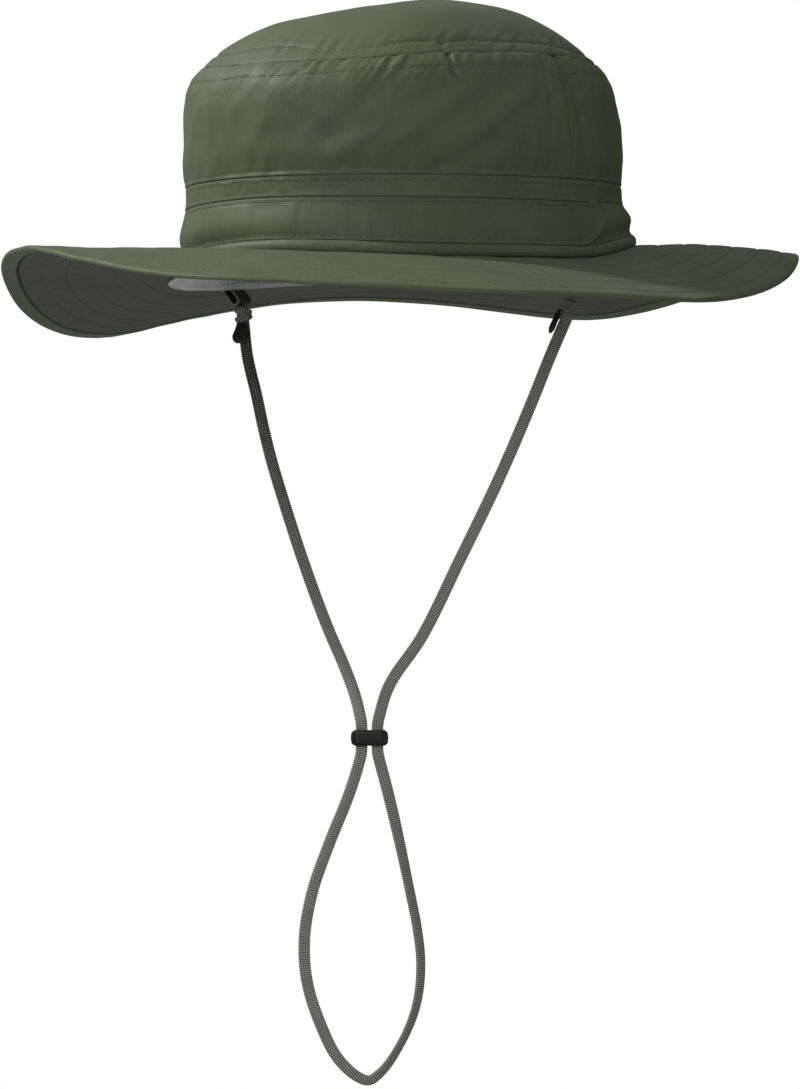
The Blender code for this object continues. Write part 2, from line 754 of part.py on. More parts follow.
def make_cord(material, collection):
    points = cord_points()
    cord = flat_curve("chin_cord", points, CORD_WIDTH, CORD_THICKNESS, material, collection)
    for corner, tilt in zip(cord.data.splines[0].points, cord_tilts(points)):
        corner.tilt = tilt


def build():
    for old in list(bpy.data.objects):
        bpy.data.objects.remove(old, do_unlink=True)
    hat = bpy.data.collections.new("sun_hat")
    cutters = bpy.data.collections.new("cutters")
    bpy.context.scene.collection.children.link(hat)
    bpy.context.scene.collection.children.link(cutters)
    nylon = finish("olive woven nylon")
    webbing = finish("black webbing")
    braid = finish("grey braided cord")
    make_tip(nylon, hat)
    make_sides(nylon, hat)
    make_tape(nylon, hat)
    make_bands(nylon, hat)
    make_welt(nylon, hat)
    make_brim(nylon, hat)
    make_lining(finish("dark grey lining"), hat)
    make_sweatband(finish("light grey knit"), hat)
    make_ear(-1, "right", False, webbing, braid, hat)
    make_ear(1, "left", True, webbing, braid, hat)
    make_toggle(finish("black moulded plastic"), hat, cutters)
    make_cord(braid, hat)


build()
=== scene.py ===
import bpy
import numpy as np
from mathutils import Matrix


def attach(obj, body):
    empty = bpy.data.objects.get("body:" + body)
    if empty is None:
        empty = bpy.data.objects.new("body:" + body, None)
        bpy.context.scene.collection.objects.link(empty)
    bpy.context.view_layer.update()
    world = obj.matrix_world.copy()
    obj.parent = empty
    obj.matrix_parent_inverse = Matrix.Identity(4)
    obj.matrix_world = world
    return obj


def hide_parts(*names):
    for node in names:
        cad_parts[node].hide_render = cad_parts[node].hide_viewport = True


# Sun hat: finished surfaces, stitching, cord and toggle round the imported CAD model.
# Angles go round the hat in degrees: 0 at the front (-Y), 90 at the wearer's left (+X).

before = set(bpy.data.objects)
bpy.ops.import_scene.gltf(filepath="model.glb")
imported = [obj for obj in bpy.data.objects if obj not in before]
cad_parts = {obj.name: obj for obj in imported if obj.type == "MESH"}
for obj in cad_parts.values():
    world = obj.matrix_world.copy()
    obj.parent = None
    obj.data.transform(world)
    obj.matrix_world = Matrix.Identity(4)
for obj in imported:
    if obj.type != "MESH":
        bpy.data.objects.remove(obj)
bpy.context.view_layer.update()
print("stage: packed model loaded")

mm = 0.001

# camera, a little below the brim and 35 degrees round from the hat's front
cameraView = {
    "turn": 35.0,
    "distance": 3.0,
    "height": -0.1215,
    "aside": -0.002665,
    "pictureHeight": 0.4465,  # metres of the hat's middle plane from top to bottom
    "sensor": 36.0,
}


def planeAxes(turn):
    # across and away: the picture's rightward and inward directions for a turn round +Z
    cosine, sine = np.cos(np.radians(turn)), np.sin(np.radians(turn))
    return np.array((cosine, sine, 0.0)), np.array((-sine, cosine, 0.0))


def makeCamera(view):
    across, away = planeAxes(view["turn"])
    place = across * view["aside"] - away * view["distance"]
    data = bpy.data.cameras.new("camera")
    data.sensor_width = view["sensor"]
    data.lens = view["sensor"] * view["distance"] / view["pictureHeight"]
    camera = bpy.data.objects.new("camera", data)
    camera.location = (place[0], place[1], view["height"])
    camera.rotation_euler = (np.pi / 2, 0, np.radians(view["turn"]))
    bpy.context.scene.collection.objects.link(camera)
    bpy.context.scene.camera = camera


makeCamera(cameraView)

# curves, sections and noise


def smoothRead(knots, values, at, period=None):
    # cubic through the rows whose slope at each row is the mean slope of its neighbours;
    # with a period the table joins up with itself
    knots = np.asarray(knots, float)
    values = np.asarray(values, float)
    at = np.asarray(at, float)
    if period is not None:
        knots = np.concatenate((knots[-2:] - period, knots, knots[:2] + period))
        values = np.concatenate((values[-2:], values, values[:2]))
        at = (at - knots[2]) % period + knots[2]
    slopes = np.gradient(values, knots)
    row = np.clip(np.searchsorted(knots, at, side="right") - 1, 0, len(knots) - 2)
    span = knots[row + 1] - knots[row]
    part = (at - knots[row]) / span
    square = part * part
    cube = square * part
    start = (2 * cube - 3 * square + 1) * values[row] + (cube - 2 * square + part) * span * slopes[row]
    end = (3 * square - 2 * cube) * values[row + 1] + (cube - square) * span * slopes[row + 1]
    return start + end


def unit(vector):
    # a vector divided by its length
    return np.asarray(vector, float) / np.linalg.norm(vector)


def bell(distance, width):
    # soft bump: e to the minus square of distance over width
    return np.exp(-(distance / width) ** 2)


def softStep(value, low, high):
    # 0 below low, 1 above high, a smooth cubic between
    part = np.clip((value - low) / (high - low), 0, 1)
    return part * part * (3 - 2 * part)


def roundNoise(angles, count, seed):
    # smooth random curve round the hat through count random heights between -1 and 1
    heights = np.random.RandomState(seed).uniform(-1, 1, count)
    return smoothRead(np.arange(count) * 360.0 / count, heights, angles, 360)


def clothNoise(across, up, size, seed):
    # soft random hills on a grid of the given size, blended between its corners
    cells = 64  # the hills repeat after this many
    field = np.random.RandomState(seed).uniform(-1, 1, (cells, cells))
    x, y = np.broadcast_arrays(across / size, up / size)
    column, row = np.floor(x).astype(int), np.floor(y).astype(int)
    fx, fy = softStep(x - column, 0, 1), softStep(y - row, 0, 1)
    column, row, right, above = column % cells, row % cells, (column + 1) % cells, (row + 1) % cells
    low = field[row, column] * (1 - fx) + field[row, right] * fx
    high = field[above, column] * (1 - fx) + field[above, right] * fx
    return low * (1 - fy) + high * fy


def unevenness(across, up, kind):
    # noise of a height, a size and a seed
    height, size, seed = kind
    return height * clothNoise(across, up, size, seed)


def edgeRoll(distance, width):
    # 1 at an edge, falling as a square to 0 at the given distance from it
    return np.clip(1 - distance / width, 0, 1) ** 2


def turnFrom(angles, middle=0.0):
    # how many degrees an angle lies past the middle one, the angle itself kept within a half turn
    return (angles + 180) % 360 - 180 - middle


# the hat's form, with the same sizes and tables as its solids

hat = {
    "crownLength": 0.208,
    "crownWidth": 0.178,
    "weltHeight": 0.0048,
    "tapeLow": 0.0178,
    "tapeTop": 0.0252,
    "seamHeight": 0.0748,
    "tipRise": 0.0262,
    "crownLean": 0.0026,
    "tipLean": 0.0020,
    "leanAngle": -55.0,
    "rimLength": 0.3435,
    "rimWidth": 0.3175,
    "rimForward": 0.0035,
    "brimDrop": 0.0330,
    "brimTuck": 0.0030,
    "sideSeam": 88.0,
}

# angle, joint in shares of the brim drop, tape and seam in shares of the tape height
crownWaves = np.array((
    (-170, -0.18, -0.04, 0.00), (-140, -0.17, -0.06, -0.02), (-110, -0.26, -0.08, -0.02),
    (-90, -0.33, -0.09, -0.03), (-70, -0.35, -0.09, -0.04), (-50, -0.30, -0.08, -0.06),
    (-25, -0.21, -0.04, -0.12), (0, -0.15, 0.00, -0.12), (22, -0.17, 0.01, -0.11),
    (45, -0.20, 0.01, -0.01), (70, -0.20, 0.01, 0.05), (92, -0.17, 0.01, 0.07),
    (112, -0.04, 0.01, 0.05), (128, 0.04, 0.01, 0.04), (150, -0.02, 0.00, 0.03),
    (172, -0.14, -0.02, 0.01),
))

# height and reach of the crown wall, as shares
crownOutline = np.array((
    (0.000, 1.000), (0.060, 0.990), (0.140, 0.978), (0.235, 0.953), (0.330, 0.948),
    (0.480, 0.956), (0.640, 0.949), (0.800, 0.936), (0.880, 0.919), (0.940, 0.894),
    (1.000, 0.851),
))

# distance from the middle and height of the tip, as shares
tipOutline = np.array((
    (0.00, 1.000), (0.25, 0.935), (0.48, 0.810), (0.68, 0.660), (0.80, 0.480),
    (0.90, 0.270), (1.00, 0.000),
))

# angle, rim height and rise of the brim's middle in shares of the brim drop
brimWaves = np.array((
    (-173, -0.71, 0.05), (-155, -0.55, 0.06), (-143, -0.45, 0.06), (-128, -0.46, 0.05),
    (-110, -0.69, 0.02), (-90, -1.00, -0.02), (-80, -0.94, -0.03), (-68, -0.70, -0.04),
    (-55, -0.33, -0.04), (-42, -0.13, -0.02), (-30, -0.06, 0.03), (-15, -0.23, 0.10),
    (0, -0.44, 0.13), (20, -0.55, 0.10), (45, -0.66, 0.07), (70, -0.71, 0.07),
    (85, -0.73, 0.08), (97, -0.61, 0.11), (110, -0.38, 0.12), (125, -0.07, 0.07),
    (145, -0.15, 0.06), (165, -0.41, 0.05),
))


def hatEllipse(angles, halfLength, halfWidth):
    # plan positions: x is half the width times the sine, y minus half the length times the cosine
    turn = np.radians(angles)
    return halfWidth * np.sin(turn), -halfLength * np.cos(turn)


def crownWave(angles, column):
    # height of the joint, the tape or the seam at an angle: a table's share times its unit
    whole = hat["brimDrop"] if column == 1 else hat["tapeTop"]
    return whole * smoothRead(crownWaves[:, 0], crownWaves[:, column], angles, 360)


def wallHeight(angles, level):
    # a level line's real height: it follows the joint low down, the tape in the middle and
    # the seam at the top
    middle = (hat["tapeLow"] + hat["tapeTop"]) / 2
    low = np.clip((level - hat["weltHeight"]) / (middle - hat["weltHeight"]), 0, 1)
    high = np.clip((level - middle) / (hat["seamHeight"] - middle), 0, 1)
    return (level + (1 - low) * crownWave(angles, 1) + low * (1 - high) * crownWave(angles, 2)
            + high * crownWave(angles, 3))


def wallPoint(angles, level, push=0.0):
    # a point of the crown wall: the ellipse times the outline's reach, pushed outwards
    share = np.clip(level / hat["seamHeight"], 0, 1)
    reach = smoothRead(crownOutline[:, 0], crownOutline[:, 1], share)
    x, y = hatEllipse(angles, reach * hat["crownLength"] / 2 + push, reach * hat["crownWidth"] / 2 + push)
    lean = hat["crownLean"] * level / hat["seamHeight"]
    leanX, leanY = hatEllipse(hat["leanAngle"], lean, lean)
    return np.stack(np.broadcast_arrays(x + leanX, y + leanY, wallHeight(angles, level)), -1)


def tipPoint(angles, share):
    # a point of the tip: share 1 on its seam and 0 in the middle
    edge = wallPoint(angles, hat["seamHeight"] + 0 * angles)
    middleX, middleY = hatEllipse(hat["leanAngle"], hat["crownLean"], hat["crownLean"])
    rise = hat["tipRise"] * smoothRead(tipOutline[:, 0], tipOutline[:, 1], share)
    lean = -hat["tipLean"] * 4 * share * (1 - share) * np.cos(np.radians(angles - hat["leanAngle"]))
    return np.stack(np.broadcast_arrays(
        middleX + (edge[..., 0] - middleX) * share,
        middleY + (edge[..., 1] - middleY) * share,
        hat["seamHeight"] + (edge[..., 2] - hat["seamHeight"]) * share + rise + lean), -1)


def brimPoint(angles, share, below=0.0):
    # a point of the brim: straight from joint to rim plus a rise in the middle
    innerX, innerY = hatEllipse(angles, hat["crownLength"] / 2 - hat["brimTuck"],
                                hat["crownWidth"] / 2 - hat["brimTuck"])
    rimX, rimY = hatEllipse(angles, hat["rimLength"] / 2 - 0.7 * mm, hat["rimWidth"] / 2 - 0.7 * mm)
    joint = crownWave(angles, 1)
    rim = hat["brimDrop"] * sum(part * smoothRead(brimWaves[:, 0], brimWaves[:, 1], angles + turn, 360)
                                for turn, part in ((-5, 0.25), (0, 0.5), (5, 0.25)))
    rise = hat["brimDrop"] * smoothRead(brimWaves[:, 0], brimWaves[:, 2], angles, 360)
    return np.stack(np.broadcast_arrays(
        innerX + (rimX - innerX) * share,
        innerY + (rimY - hat["rimForward"] - innerY) * share,
        joint + (rim - joint) * share + rise * 4 * share * (1 - share) - below), -1)


def brimWidth(angles):
    # distance from the head opening to the rim at an angle
    across = brimPoint(angles, 1.0 + 0 * angles) - brimPoint(angles, 0.0 * angles)
    return np.linalg.norm(across[..., :2], axis=-1)


# meshes from grids of points


def gridFaces(rows, columns, joined, closed, first=0):
    # four corners of each cell; joined grids close along their columns, closed ones along rows
    row = np.arange(rows if closed else rows - 1)[:, None]
    column = np.arange(columns if joined else columns - 1)[None, :]
    right, above = (column + 1) % columns, (row + 1) % rows
    corners = ((row, column), (row, right), (above, right), (above, column))
    numbers = np.broadcast_arrays(*(up * columns + along for up, along in corners))
    return first + np.stack(numbers, -1).reshape(-1, 4)


def gridThreads(threads, rows, columns, joined, closed):
    # thread coordinates of each cell's corners; they have one more row or column where they wrap
    row = np.arange(rows if closed else rows - 1)[:, None]
    column = np.arange(columns if joined else columns - 1)[None, :]
    steps = ((0, 0), (0, 1), (1, 1), (1, 0))
    return np.stack([threads[row + up, column + along] for up, along in steps], 2).reshape(-1, 2)


def newPiece(name, corners, faces, material, threads=None, smooth=True):
    # a mesh object at the origin, from corners, faces and each face corner's thread coordinates
    mesh = bpy.data.meshes.new(name)
    mesh.from_pydata(corners.reshape(-1, 3).tolist(), [], [list(face) for face in faces])
    if threads is not None:
        layer = mesh.uv_layers.new(name="threads")
        layer.data.foreach_set("uv", threads.astype(np.float32).ravel())
    mesh.polygons.foreach_set("use_smooth", np.full(len(mesh.polygons), smooth))
    mesh.materials.append(material)
    mesh.update()
    piece = bpy.data.objects.new(name, mesh)
    bpy.context.scene.collection.objects.link(piece)
    return piece


def dress(piece, slot, *nodes):
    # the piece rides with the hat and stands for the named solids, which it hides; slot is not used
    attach(piece, "root")
    if nodes:
        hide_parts(*nodes)
    return piece


def wall(piece, thickness):
    # cloth thickness on the inner side
    layer = piece.modifiers.new("wall", "SOLIDIFY")
    layer.thickness = thickness
    layer.offset = -1.0
    return piece


# materials


def toLinear(hexColour):
    # an sRGB hex colour as linear red, green, blue and alpha
    parts = np.array([int(hexColour[at:at + 2], 16) / 255 for at in (0, 2, 4)])
    return (*np.where(parts <= 0.04045, parts / 12.92, ((parts + 0.055) / 1.055) ** 2.4), 1.0)


def addNode(tree, kind, settings=None, inputs=None):
    # one node with its settings; an input is a value or another node's output
    node = tree.nodes.new(kind)
    for name, value in (settings or {}).items():
        setattr(node, name, value)
    for name, value in (inputs or {}).items():
        if isinstance(value, bpy.types.NodeSocket):
            tree.links.new(value, node.inputs[name])
        else:
            node.inputs[name].default_value = value
    return node


def newMaterial(name):
    # an empty material with its node tree and its one shader
    material = bpy.data.materials.new(name)
    material.use_nodes = True
    tree = material.node_tree
    return material, tree, tree.nodes["Principled BSDF"]


def setShader(shader, values):
    # constants on the shader's own sockets
    for name, value in values.items():
        shader.inputs[name].default_value = value


def math(tree, operation, first, second=0.0, third=0.0):
    # shorthand for the arithmetic between nodes
    return addNode(tree, "ShaderNodeMath", {"operation": operation},
                   {0: first, 1: second, 2: third}).outputs[0]


def stretchedNoise(tree, threads, size, detail=2.0, roughness=0.5):
    # noise with its own size in metres along and across the threads
    placed = addNode(tree, "ShaderNodeMapping", {}, {
        "Vector": threads, "Scale": (1 / size[0], 1 / size[1], 1.0)})
    return addNode(tree, "ShaderNodeTexNoise", {"noise_dimensions": "2D"}, {
        "Vector": placed.outputs[0], "Scale": 1.0, "Detail": detail, "Roughness": roughness}).outputs["Fac"]


def blend(tree, share, first, second, mode="MIX"):
    # first * (1 - factor) + second * factor, for colours
    return addNode(tree, "ShaderNodeMix", {"data_type": "RGBA", "blend_type": mode}, {
        0: share, 6: first, 7: second}).outputs[2]


def remap(tree, value, low, high, toLow, toHigh):
    # straight line from one range to another, held at its ends
    return addNode(tree, "ShaderNodeMapRange", {}, {
        "Value": value, "From Min": low, "From Max": high, "To Min": toLow, "To Max": toHigh}).outputs[0]


def addRelief(tree, shader, height, strength, distance):
    # a height in shares of a distance in metres, felt by the shader as a bump
    bump = addNode(tree, "ShaderNodeBump", {}, {"Height": height, "Strength": strength, "Distance": distance})
    tree.links.new(bump.outputs[0], shader.inputs["Normal"])


def readThreads(tree):
    # the piece's own thread coordinates in metres, and each of the two alone
    threads = addNode(tree, "ShaderNodeUVMap", {"uv_map": "threads"}).outputs[0]
    split = addNode(tree, "ShaderNodeSeparateXYZ", {}, {0: threads})
    return threads, split.outputs[0], split.outputs[1]


def wavesOf(tree, operation, distance, pitch):
    # sine or cosine of a whole turn for each pitch of the distance
    return math(tree, operation, math(tree, "MULTIPLY", distance, 2 * np.pi / pitch))


# nylon of a dull spun look: plain weave of about 0.35 mm, drawn at 0.8 mm so that it shows
nylonWeave = {
    "colour": "495439",
    "pale": "4f5a3f",
    "deep": "3f4930",
    "thread": 0.8 * mm,
    "streak": (0.7 * mm, 11 * mm),  # thin slubs along the threads
    "cloud": 34 * mm,  # faint patches of wear and handling
    "roughness": 0.58,
    "sheen": 0.04,
}


def wovenNylon(name, weave, vertical=True):
    # plain woven nylon: fine crossing threads, slubs along one of them, soft matt sheen
    material, tree, shader = newMaterial(name)
    threads, along, up = readThreads(tree)
    warp = wavesOf(tree, "SINE", along, weave["thread"])
    weft = wavesOf(tree, "SINE", up, weave["thread"])
    crossing = math(tree, "MULTIPLY", warp, weft)
    size = weave["streak"] if vertical else weave["streak"][::-1]
    slubs = stretchedNoise(tree, threads, size, 3.0, 0.6)
    fine = stretchedNoise(tree, threads, (1.3 * mm, 1.3 * mm), 2.0)
    cloud = stretchedNoise(tree, threads, (weave["cloud"], weave["cloud"]), 3.0)
    worn = remap(tree, cloud, 0.3, 0.7, 0.0, 1.0)
    patch = blend(tree, worn, toLinear(weave["colour"]), toLinear(weave["pale"]))
    strength = remap(tree, cloud, 0.35, 0.65, 0.50, 0.12)
    lines = math(tree, "MULTIPLY", remap(tree, slubs, 0.48, 0.75, 0.0, 1.0), strength)
    lined = blend(tree, lines, patch, toLinear(weave["deep"]))
    flecked = blend(tree, remap(tree, fine, 0.55, 0.8, 0.0, 0.30), lined, toLinear(weave["pale"]))
    tree.links.new(flecked, shader.inputs["Base Color"])
    rough = remap(tree, slubs, 0.3, 0.7, weave["roughness"] - 0.05, weave["roughness"] + 0.07)
    tree.links.new(rough, shader.inputs["Roughness"])
    height = math(tree, "ADD", math(tree, "MULTIPLY", crossing, 0.22), math(tree, "MULTIPLY", slubs, 0.6))
    addRelief(tree, shader, height, 0.30, 0.22 * mm)
    setShader(shader, {"Specular IOR Level": 0.30, "Sheen Weight": weave["sheen"], "Sheen Roughness": 0.45})
    return material


liningWeave = {
    "colour": "4f4f49",
    "pale": "54544e",
    "deep": "474742",
    "thread": 0.8 * mm,
    "streak": (0.9 * mm, 16 * mm),
    "cloud": 45 * mm,
    "roughness": 0.78,
    "sheen": 0.0,
}

nylonUpright = wovenNylon("woven nylon, threads upright", nylonWeave)
nylonLevel = wovenNylon("woven nylon, threads level", nylonWeave, vertical=False)
liningCloth = wovenNylon("dark woven lining", liningWeave, vertical=False)

knitLook = {
    "colour": "b9babb",
    "pale": "d2d3d4",
    "rib": 0.9 * mm,
    "roughness": 0.85,
}


def tricotKnit(name, look):
    # brushed tricot knit: fine upright ribs and a soft nap that takes off the shine
    material, tree, shader = newMaterial(name)
    threads, along, up = readThreads(tree)
    ribs = wavesOf(tree, "SINE", along, look["rib"])
    loops = wavesOf(tree, "SINE", up, look["rib"] / 1.4)
    nap = stretchedNoise(tree, threads, (1.6 * mm, 1.6 * mm), 4.0, 0.7)
    cloud = stretchedNoise(tree, threads, (18 * mm, 18 * mm), 2.0)
    mixed = math(tree, "ADD", math(tree, "MULTIPLY", nap, 0.6), math(tree, "MULTIPLY", cloud, 0.4))
    brushed = remap(tree, mixed, 0.35, 0.65, 0.0, 1.0)
    colour = blend(tree, brushed, toLinear(look["colour"]), toLinear(look["pale"]))
    tree.links.new(colour, shader.inputs["Base Color"])
    height = math(tree, "ADD", math(tree, "MULTIPLY", ribs, 0.35), math(tree, "MULTIPLY", loops, 0.2))
    height = math(tree, "ADD", height, nap)
    addRelief(tree, shader, height, 0.4, 0.3 * mm)
    setShader(shader, {"Roughness": look["roughness"], "Specular IOR Level": 0.2, "Sheen Weight": 0.3,
                       "Sheen Roughness": 0.5})
    return material


knitCloth = tricotKnit("brushed tricot knit", knitLook)

threadLook = {
    "olive": "515c41",
    "charcoal": "2b2a28",
}


def sewingThread(name, colour):
    # twisted polyester thread: a light mottle and a low shine
    material, tree, shader = newMaterial(name)
    place = addNode(tree, "ShaderNodeTexCoord").outputs["Object"]
    noise = addNode(tree, "ShaderNodeTexNoise", {}, {"Vector": place, "Scale": 1 / (1.2 * mm), "Detail": 1.0})
    mottle = remap(tree, noise.outputs["Fac"], 0.35, 0.65, 0.0, 1.0)
    dark = np.array(toLinear(colour)) * 0.8
    tint = blend(tree, mottle, (*dark[:3], 1.0), toLinear(colour))
    tree.links.new(tint, shader.inputs["Base Color"])
    setShader(shader, {"Roughness": 0.6, "Specular IOR Level": 0.4})
    return material


oliveThread = sewingThread("olive sewing thread", threadLook["olive"])
charcoalThread = sewingThread("charcoal sewing thread", threadLook["charcoal"])

cordLook = {
    "shade": "474846",
    "mid": "8b8c89",
    "fleck": "d4d5d1",
    # painted shade near the right ear, where the cord hangs in the brim's shadow: where it starts to lighten,
    # where it ends, and how dark it is
    "paintedShade": (0.02, 0.16, 0.22),
    "pick": 0.92 * mm,  # one cross rib of the braid
    "lane": 0.98 * mm,  # one lengthwise row of it
    "roughness": 0.72,
}


def braidedCord(name, look):
    # flat braided polyester: cross ribs and lengthwise rows of pale flecks with dark between, and painted
    # shade that darkens the ground towards one end
    material, tree, shader = newMaterial(name)
    threads, along, up = readThreads(tree)
    rib = math(tree, "MULTIPLY_ADD", wavesOf(tree, "SINE", along, look["pick"]), 0.5, 0.5)
    lane = math(tree, "MULTIPLY_ADD", wavesOf(tree, "COSINE", up, look["lane"]), 0.5, 0.5)
    knuckle = math(tree, "MULTIPLY", rib, lane)
    wear = stretchedNoise(tree, threads, (9 * mm, 3 * mm), 3.0)
    grain = stretchedNoise(tree, threads, (0.8 * mm, 0.5 * mm), 2.0)
    ground = blend(tree, math(tree, "MAXIMUM", rib, math(tree, "MULTIPLY", lane, 0.5)),
                   toLinear(look["shade"]), toLinear(look["mid"]))
    fleck = math(tree, "MULTIPLY", remap(tree, knuckle, 0.45, 0.85, 0.0, 1.0),
                 remap(tree, math(tree, "ADD", grain, wear), 0.75, 1.25, 0.35, 1.0))
    # painted shade: the ground darkens towards the right ear, where the cord hangs in the brim's shadow; the
    # pale flecks stay
    start, stop, dark = look["paintedShade"]
    paintedShadeFactor = remap(tree, along, start, stop, dark, 1.0)
    paintedShade = addNode(tree, "ShaderNodeVectorMath", {"operation": "SCALE"}, {0: ground, "Scale": paintedShadeFactor})
    colour = blend(tree, fleck, paintedShade.outputs[0], toLinear(look["fleck"]))
    tree.links.new(colour, shader.inputs["Base Color"])
    height = math(tree, "ADD", math(tree, "MULTIPLY", knuckle, 0.8), math(tree, "MULTIPLY", grain, 0.2))
    addRelief(tree, shader, height, 0.7, 0.3 * mm)
    setShader(shader, {"Roughness": look["roughness"], "Specular IOR Level": 0.3})
    return material


cordBraid = braidedCord("flat braided cord", cordLook)
# the knots carry no painted shade: the factor is 1 all along
knotBraid = braidedCord("knotted braided cord", {**cordLook, "paintedShade": (-1.0, 0.0, 1.0), "shade": "232322"})

webbingLook = {
    "colour": "131210",
    "worn": "5a5a55",
    "rib": 1.15 * mm,
    "pick": 0.7 * mm,
    "edge": 4.5 * mm,  # distance of the rubbed edge from the middle
    "edgeWidth": 0.9 * mm,
    "edgeColour": "83837c",
}


def ribbedWebbing(name, look):
    # woven polyester webbing: lengthwise ribs, rubbed paler on their crests and at the edges
    material, tree, shader = newMaterial(name)
    threads, along, up = readThreads(tree)
    picks = wavesOf(tree, "SINE", along, look["pick"])
    ribs = wavesOf(tree, "COSINE", up, look["rib"])
    grain = stretchedNoise(tree, threads, (1.5 * mm, 0.5 * mm), 3.0)
    patchy = remap(tree, grain, 0.4, 0.75, 0.0, 0.45)
    rubbed = math(tree, "MULTIPLY", remap(tree, ribs, 0.2, 1.0, 0.0, 1.0), patchy)
    colour = blend(tree, rubbed, toLinear(look["colour"]), toLinear(look["worn"]))
    aside = math(tree, "ABSOLUTE", up)
    selvage = remap(tree, aside, look["edge"] - look["edgeWidth"], look["edge"], 0.0, 0.75)
    colour = blend(tree, selvage, colour, toLinear(look["edgeColour"]))
    tree.links.new(colour, shader.inputs["Base Color"])
    height = math(tree, "ADD", math(tree, "MULTIPLY", ribs, 0.4), math(tree, "MULTIPLY", picks, 0.15))
    addRelief(tree, shader, height, 0.6, 0.3 * mm)
    setShader(shader, {"Roughness": 0.5, "Specular IOR Level": 0.4})
    return material


blackWebbing = ribbedWebbing("ribbed webbing", webbingLook)

plasticLook = {
    "colour": "0a0a09",
    "rubbed": "141413",
    "grain": 0.35 * mm,
    "cloud": 6 * mm,
}


def mouldedPlastic(name, look):
    # moulded acetal: near black with a fine spark-eroded grain and a satin shine
    material, tree, shader = newMaterial(name)
    place = addNode(tree, "ShaderNodeTexCoord").outputs["Object"]

    def noise(size):
        return addNode(tree, "ShaderNodeTexNoise", {}, {"Vector": place, "Scale": 1 / size, "Detail": 2.0})

    grain, cloud = noise(look["grain"]), noise(look["cloud"])
    colour = blend(tree, cloud.outputs["Fac"], toLinear(look["colour"]), toLinear(look["rubbed"]))
    tree.links.new(colour, shader.inputs["Base Color"])
    rough = remap(tree, grain.outputs["Fac"], 0.3, 0.7, 0.34, 0.48)
    tree.links.new(rough, shader.inputs["Roughness"])
    addRelief(tree, shader, grain.outputs["Fac"], 0.12, 0.1 * mm)
    setShader(shader, {"Specular IOR Level": 0.3})
    return material


toggleBlack = mouldedPlastic("moulded acetal", plasticLook)
print("stage: materials made")

# chin cord: a flat braid on the route of its solid

cord = {
    "width": 4.8 * mm,
    "thickness": 1.8 * mm,
    "drop": 0.3415,
    "gap": 0.35 * mm,
    "web": 1.0 * mm,
    "straight": 3.0 * mm,
    "tuck": 2.0 * mm,  # how far each end runs into its knot
    "toggleAcross": -0.01515,
    "toggleUp": -0.2008,
    "toggleWidth": 15.2 * mm,
    "toggleHeight": 6.4 * mm,
    "toggleDepth": 7.0 * mm,
    "ring": 0.36 * mm,  # step between rings of the mesh
    "sides": 20,
    "rib": 0.05 * mm,  # height of the braid's cross ribs
}

# across and away in shares of the crown's width, up in shares of the cord's drop
cordDown = (
    (-0.380, 0.264, -0.088), (-0.373, 0.253, -0.122), (-0.349, 0.223, -0.176), (-0.332, 0.201, -0.217),
    (-0.315, 0.182, -0.252), (-0.289, 0.158, -0.297), (-0.240, 0.116, -0.375), (-0.175, 0.067, -0.465),
    (-0.148, 0.049, -0.497), (-0.116, 0.019, -0.542),
)
cordLoop = (
    (-0.115, -0.002, -0.628), (-0.130, -0.007, -0.652), (-0.179, -0.011, -0.716), (-0.217, -0.017, -0.773),
    (-0.235, -0.020, -0.829), (-0.232, -0.019, -0.870), (-0.199, -0.015, -0.930), (-0.151, -0.008, -0.977),
    (-0.115, -0.002, -0.994), (-0.087, 0.001, -1.000), (-0.062, 0.004, -0.991), (-0.017, 0.009, -0.959),
    (0.022, 0.015, -0.911), (0.033, 0.017, -0.858), (0.024, 0.018, -0.815), (0.010, 0.016, -0.778),
    (-0.046, 0.004, -0.647),
)
cordUp = (
    (-0.045, -0.022, -0.531), (0.033, -0.066, -0.468), (0.122, -0.117, -0.374), (0.218, -0.176, -0.269),
    (0.284, -0.221, -0.188), (0.330, -0.254, -0.128), (0.363, -0.269, -0.088),
)

# share of the length and turn of the cord's flat out of its loop's plane, in degrees
cordTwist = np.array((
    (0.00, 0), (0.42, 0), (0.47, 10), (0.52, 55), (0.56, 48), (0.64, 40), (0.69, 0), (1.00, 0),
))

across, away = planeAxes(cameraView["turn"])


def slotPlace(side):
    # middle of a toggle's slot: half a slot's width and half the web, to the given side
    return side * (cord["width"] + 2 * cord["gap"] + cord["web"]) / 2


def evenLine(knots, step):
    # points a step apart on one smooth curve through the knots
    reach = alongLine(knots)
    at = np.linspace(0, reach[-1], int(round(reach[-1] / step)) + 1)
    return np.stack([smoothRead(reach, knots[:, axis], at) for axis in range(3)], -1)


def alongLine(line):
    # distance from the line's start to each of its points
    return np.concatenate(((0,), np.cumsum(np.linalg.norm(np.diff(line, axis=0), axis=1))))


def runningMean(values, reach):
    # mean of each value with its neighbours up to the given reach on both sides
    window = np.ones(2 * reach + 1)
    return np.convolve(np.pad(values, reach, mode="edge"), window / len(window), mode="valid")


def flatFrames(line, flatNormal, turns):
    # at each point the way along, the flat's width direction and its face direction
    ways = np.gradient(line, axis=0)
    ways /= np.linalg.norm(ways, axis=1, keepdims=True)
    widths = np.cross(flatNormal, ways)
    widths /= np.linalg.norm(widths, axis=1, keepdims=True)
    faces = np.cross(ways, widths)
    cosine, sine = np.cos(turns)[:, None], np.sin(turns)[:, None]
    return ways, widths * cosine + faces * sine, faces * cosine - widths * sine


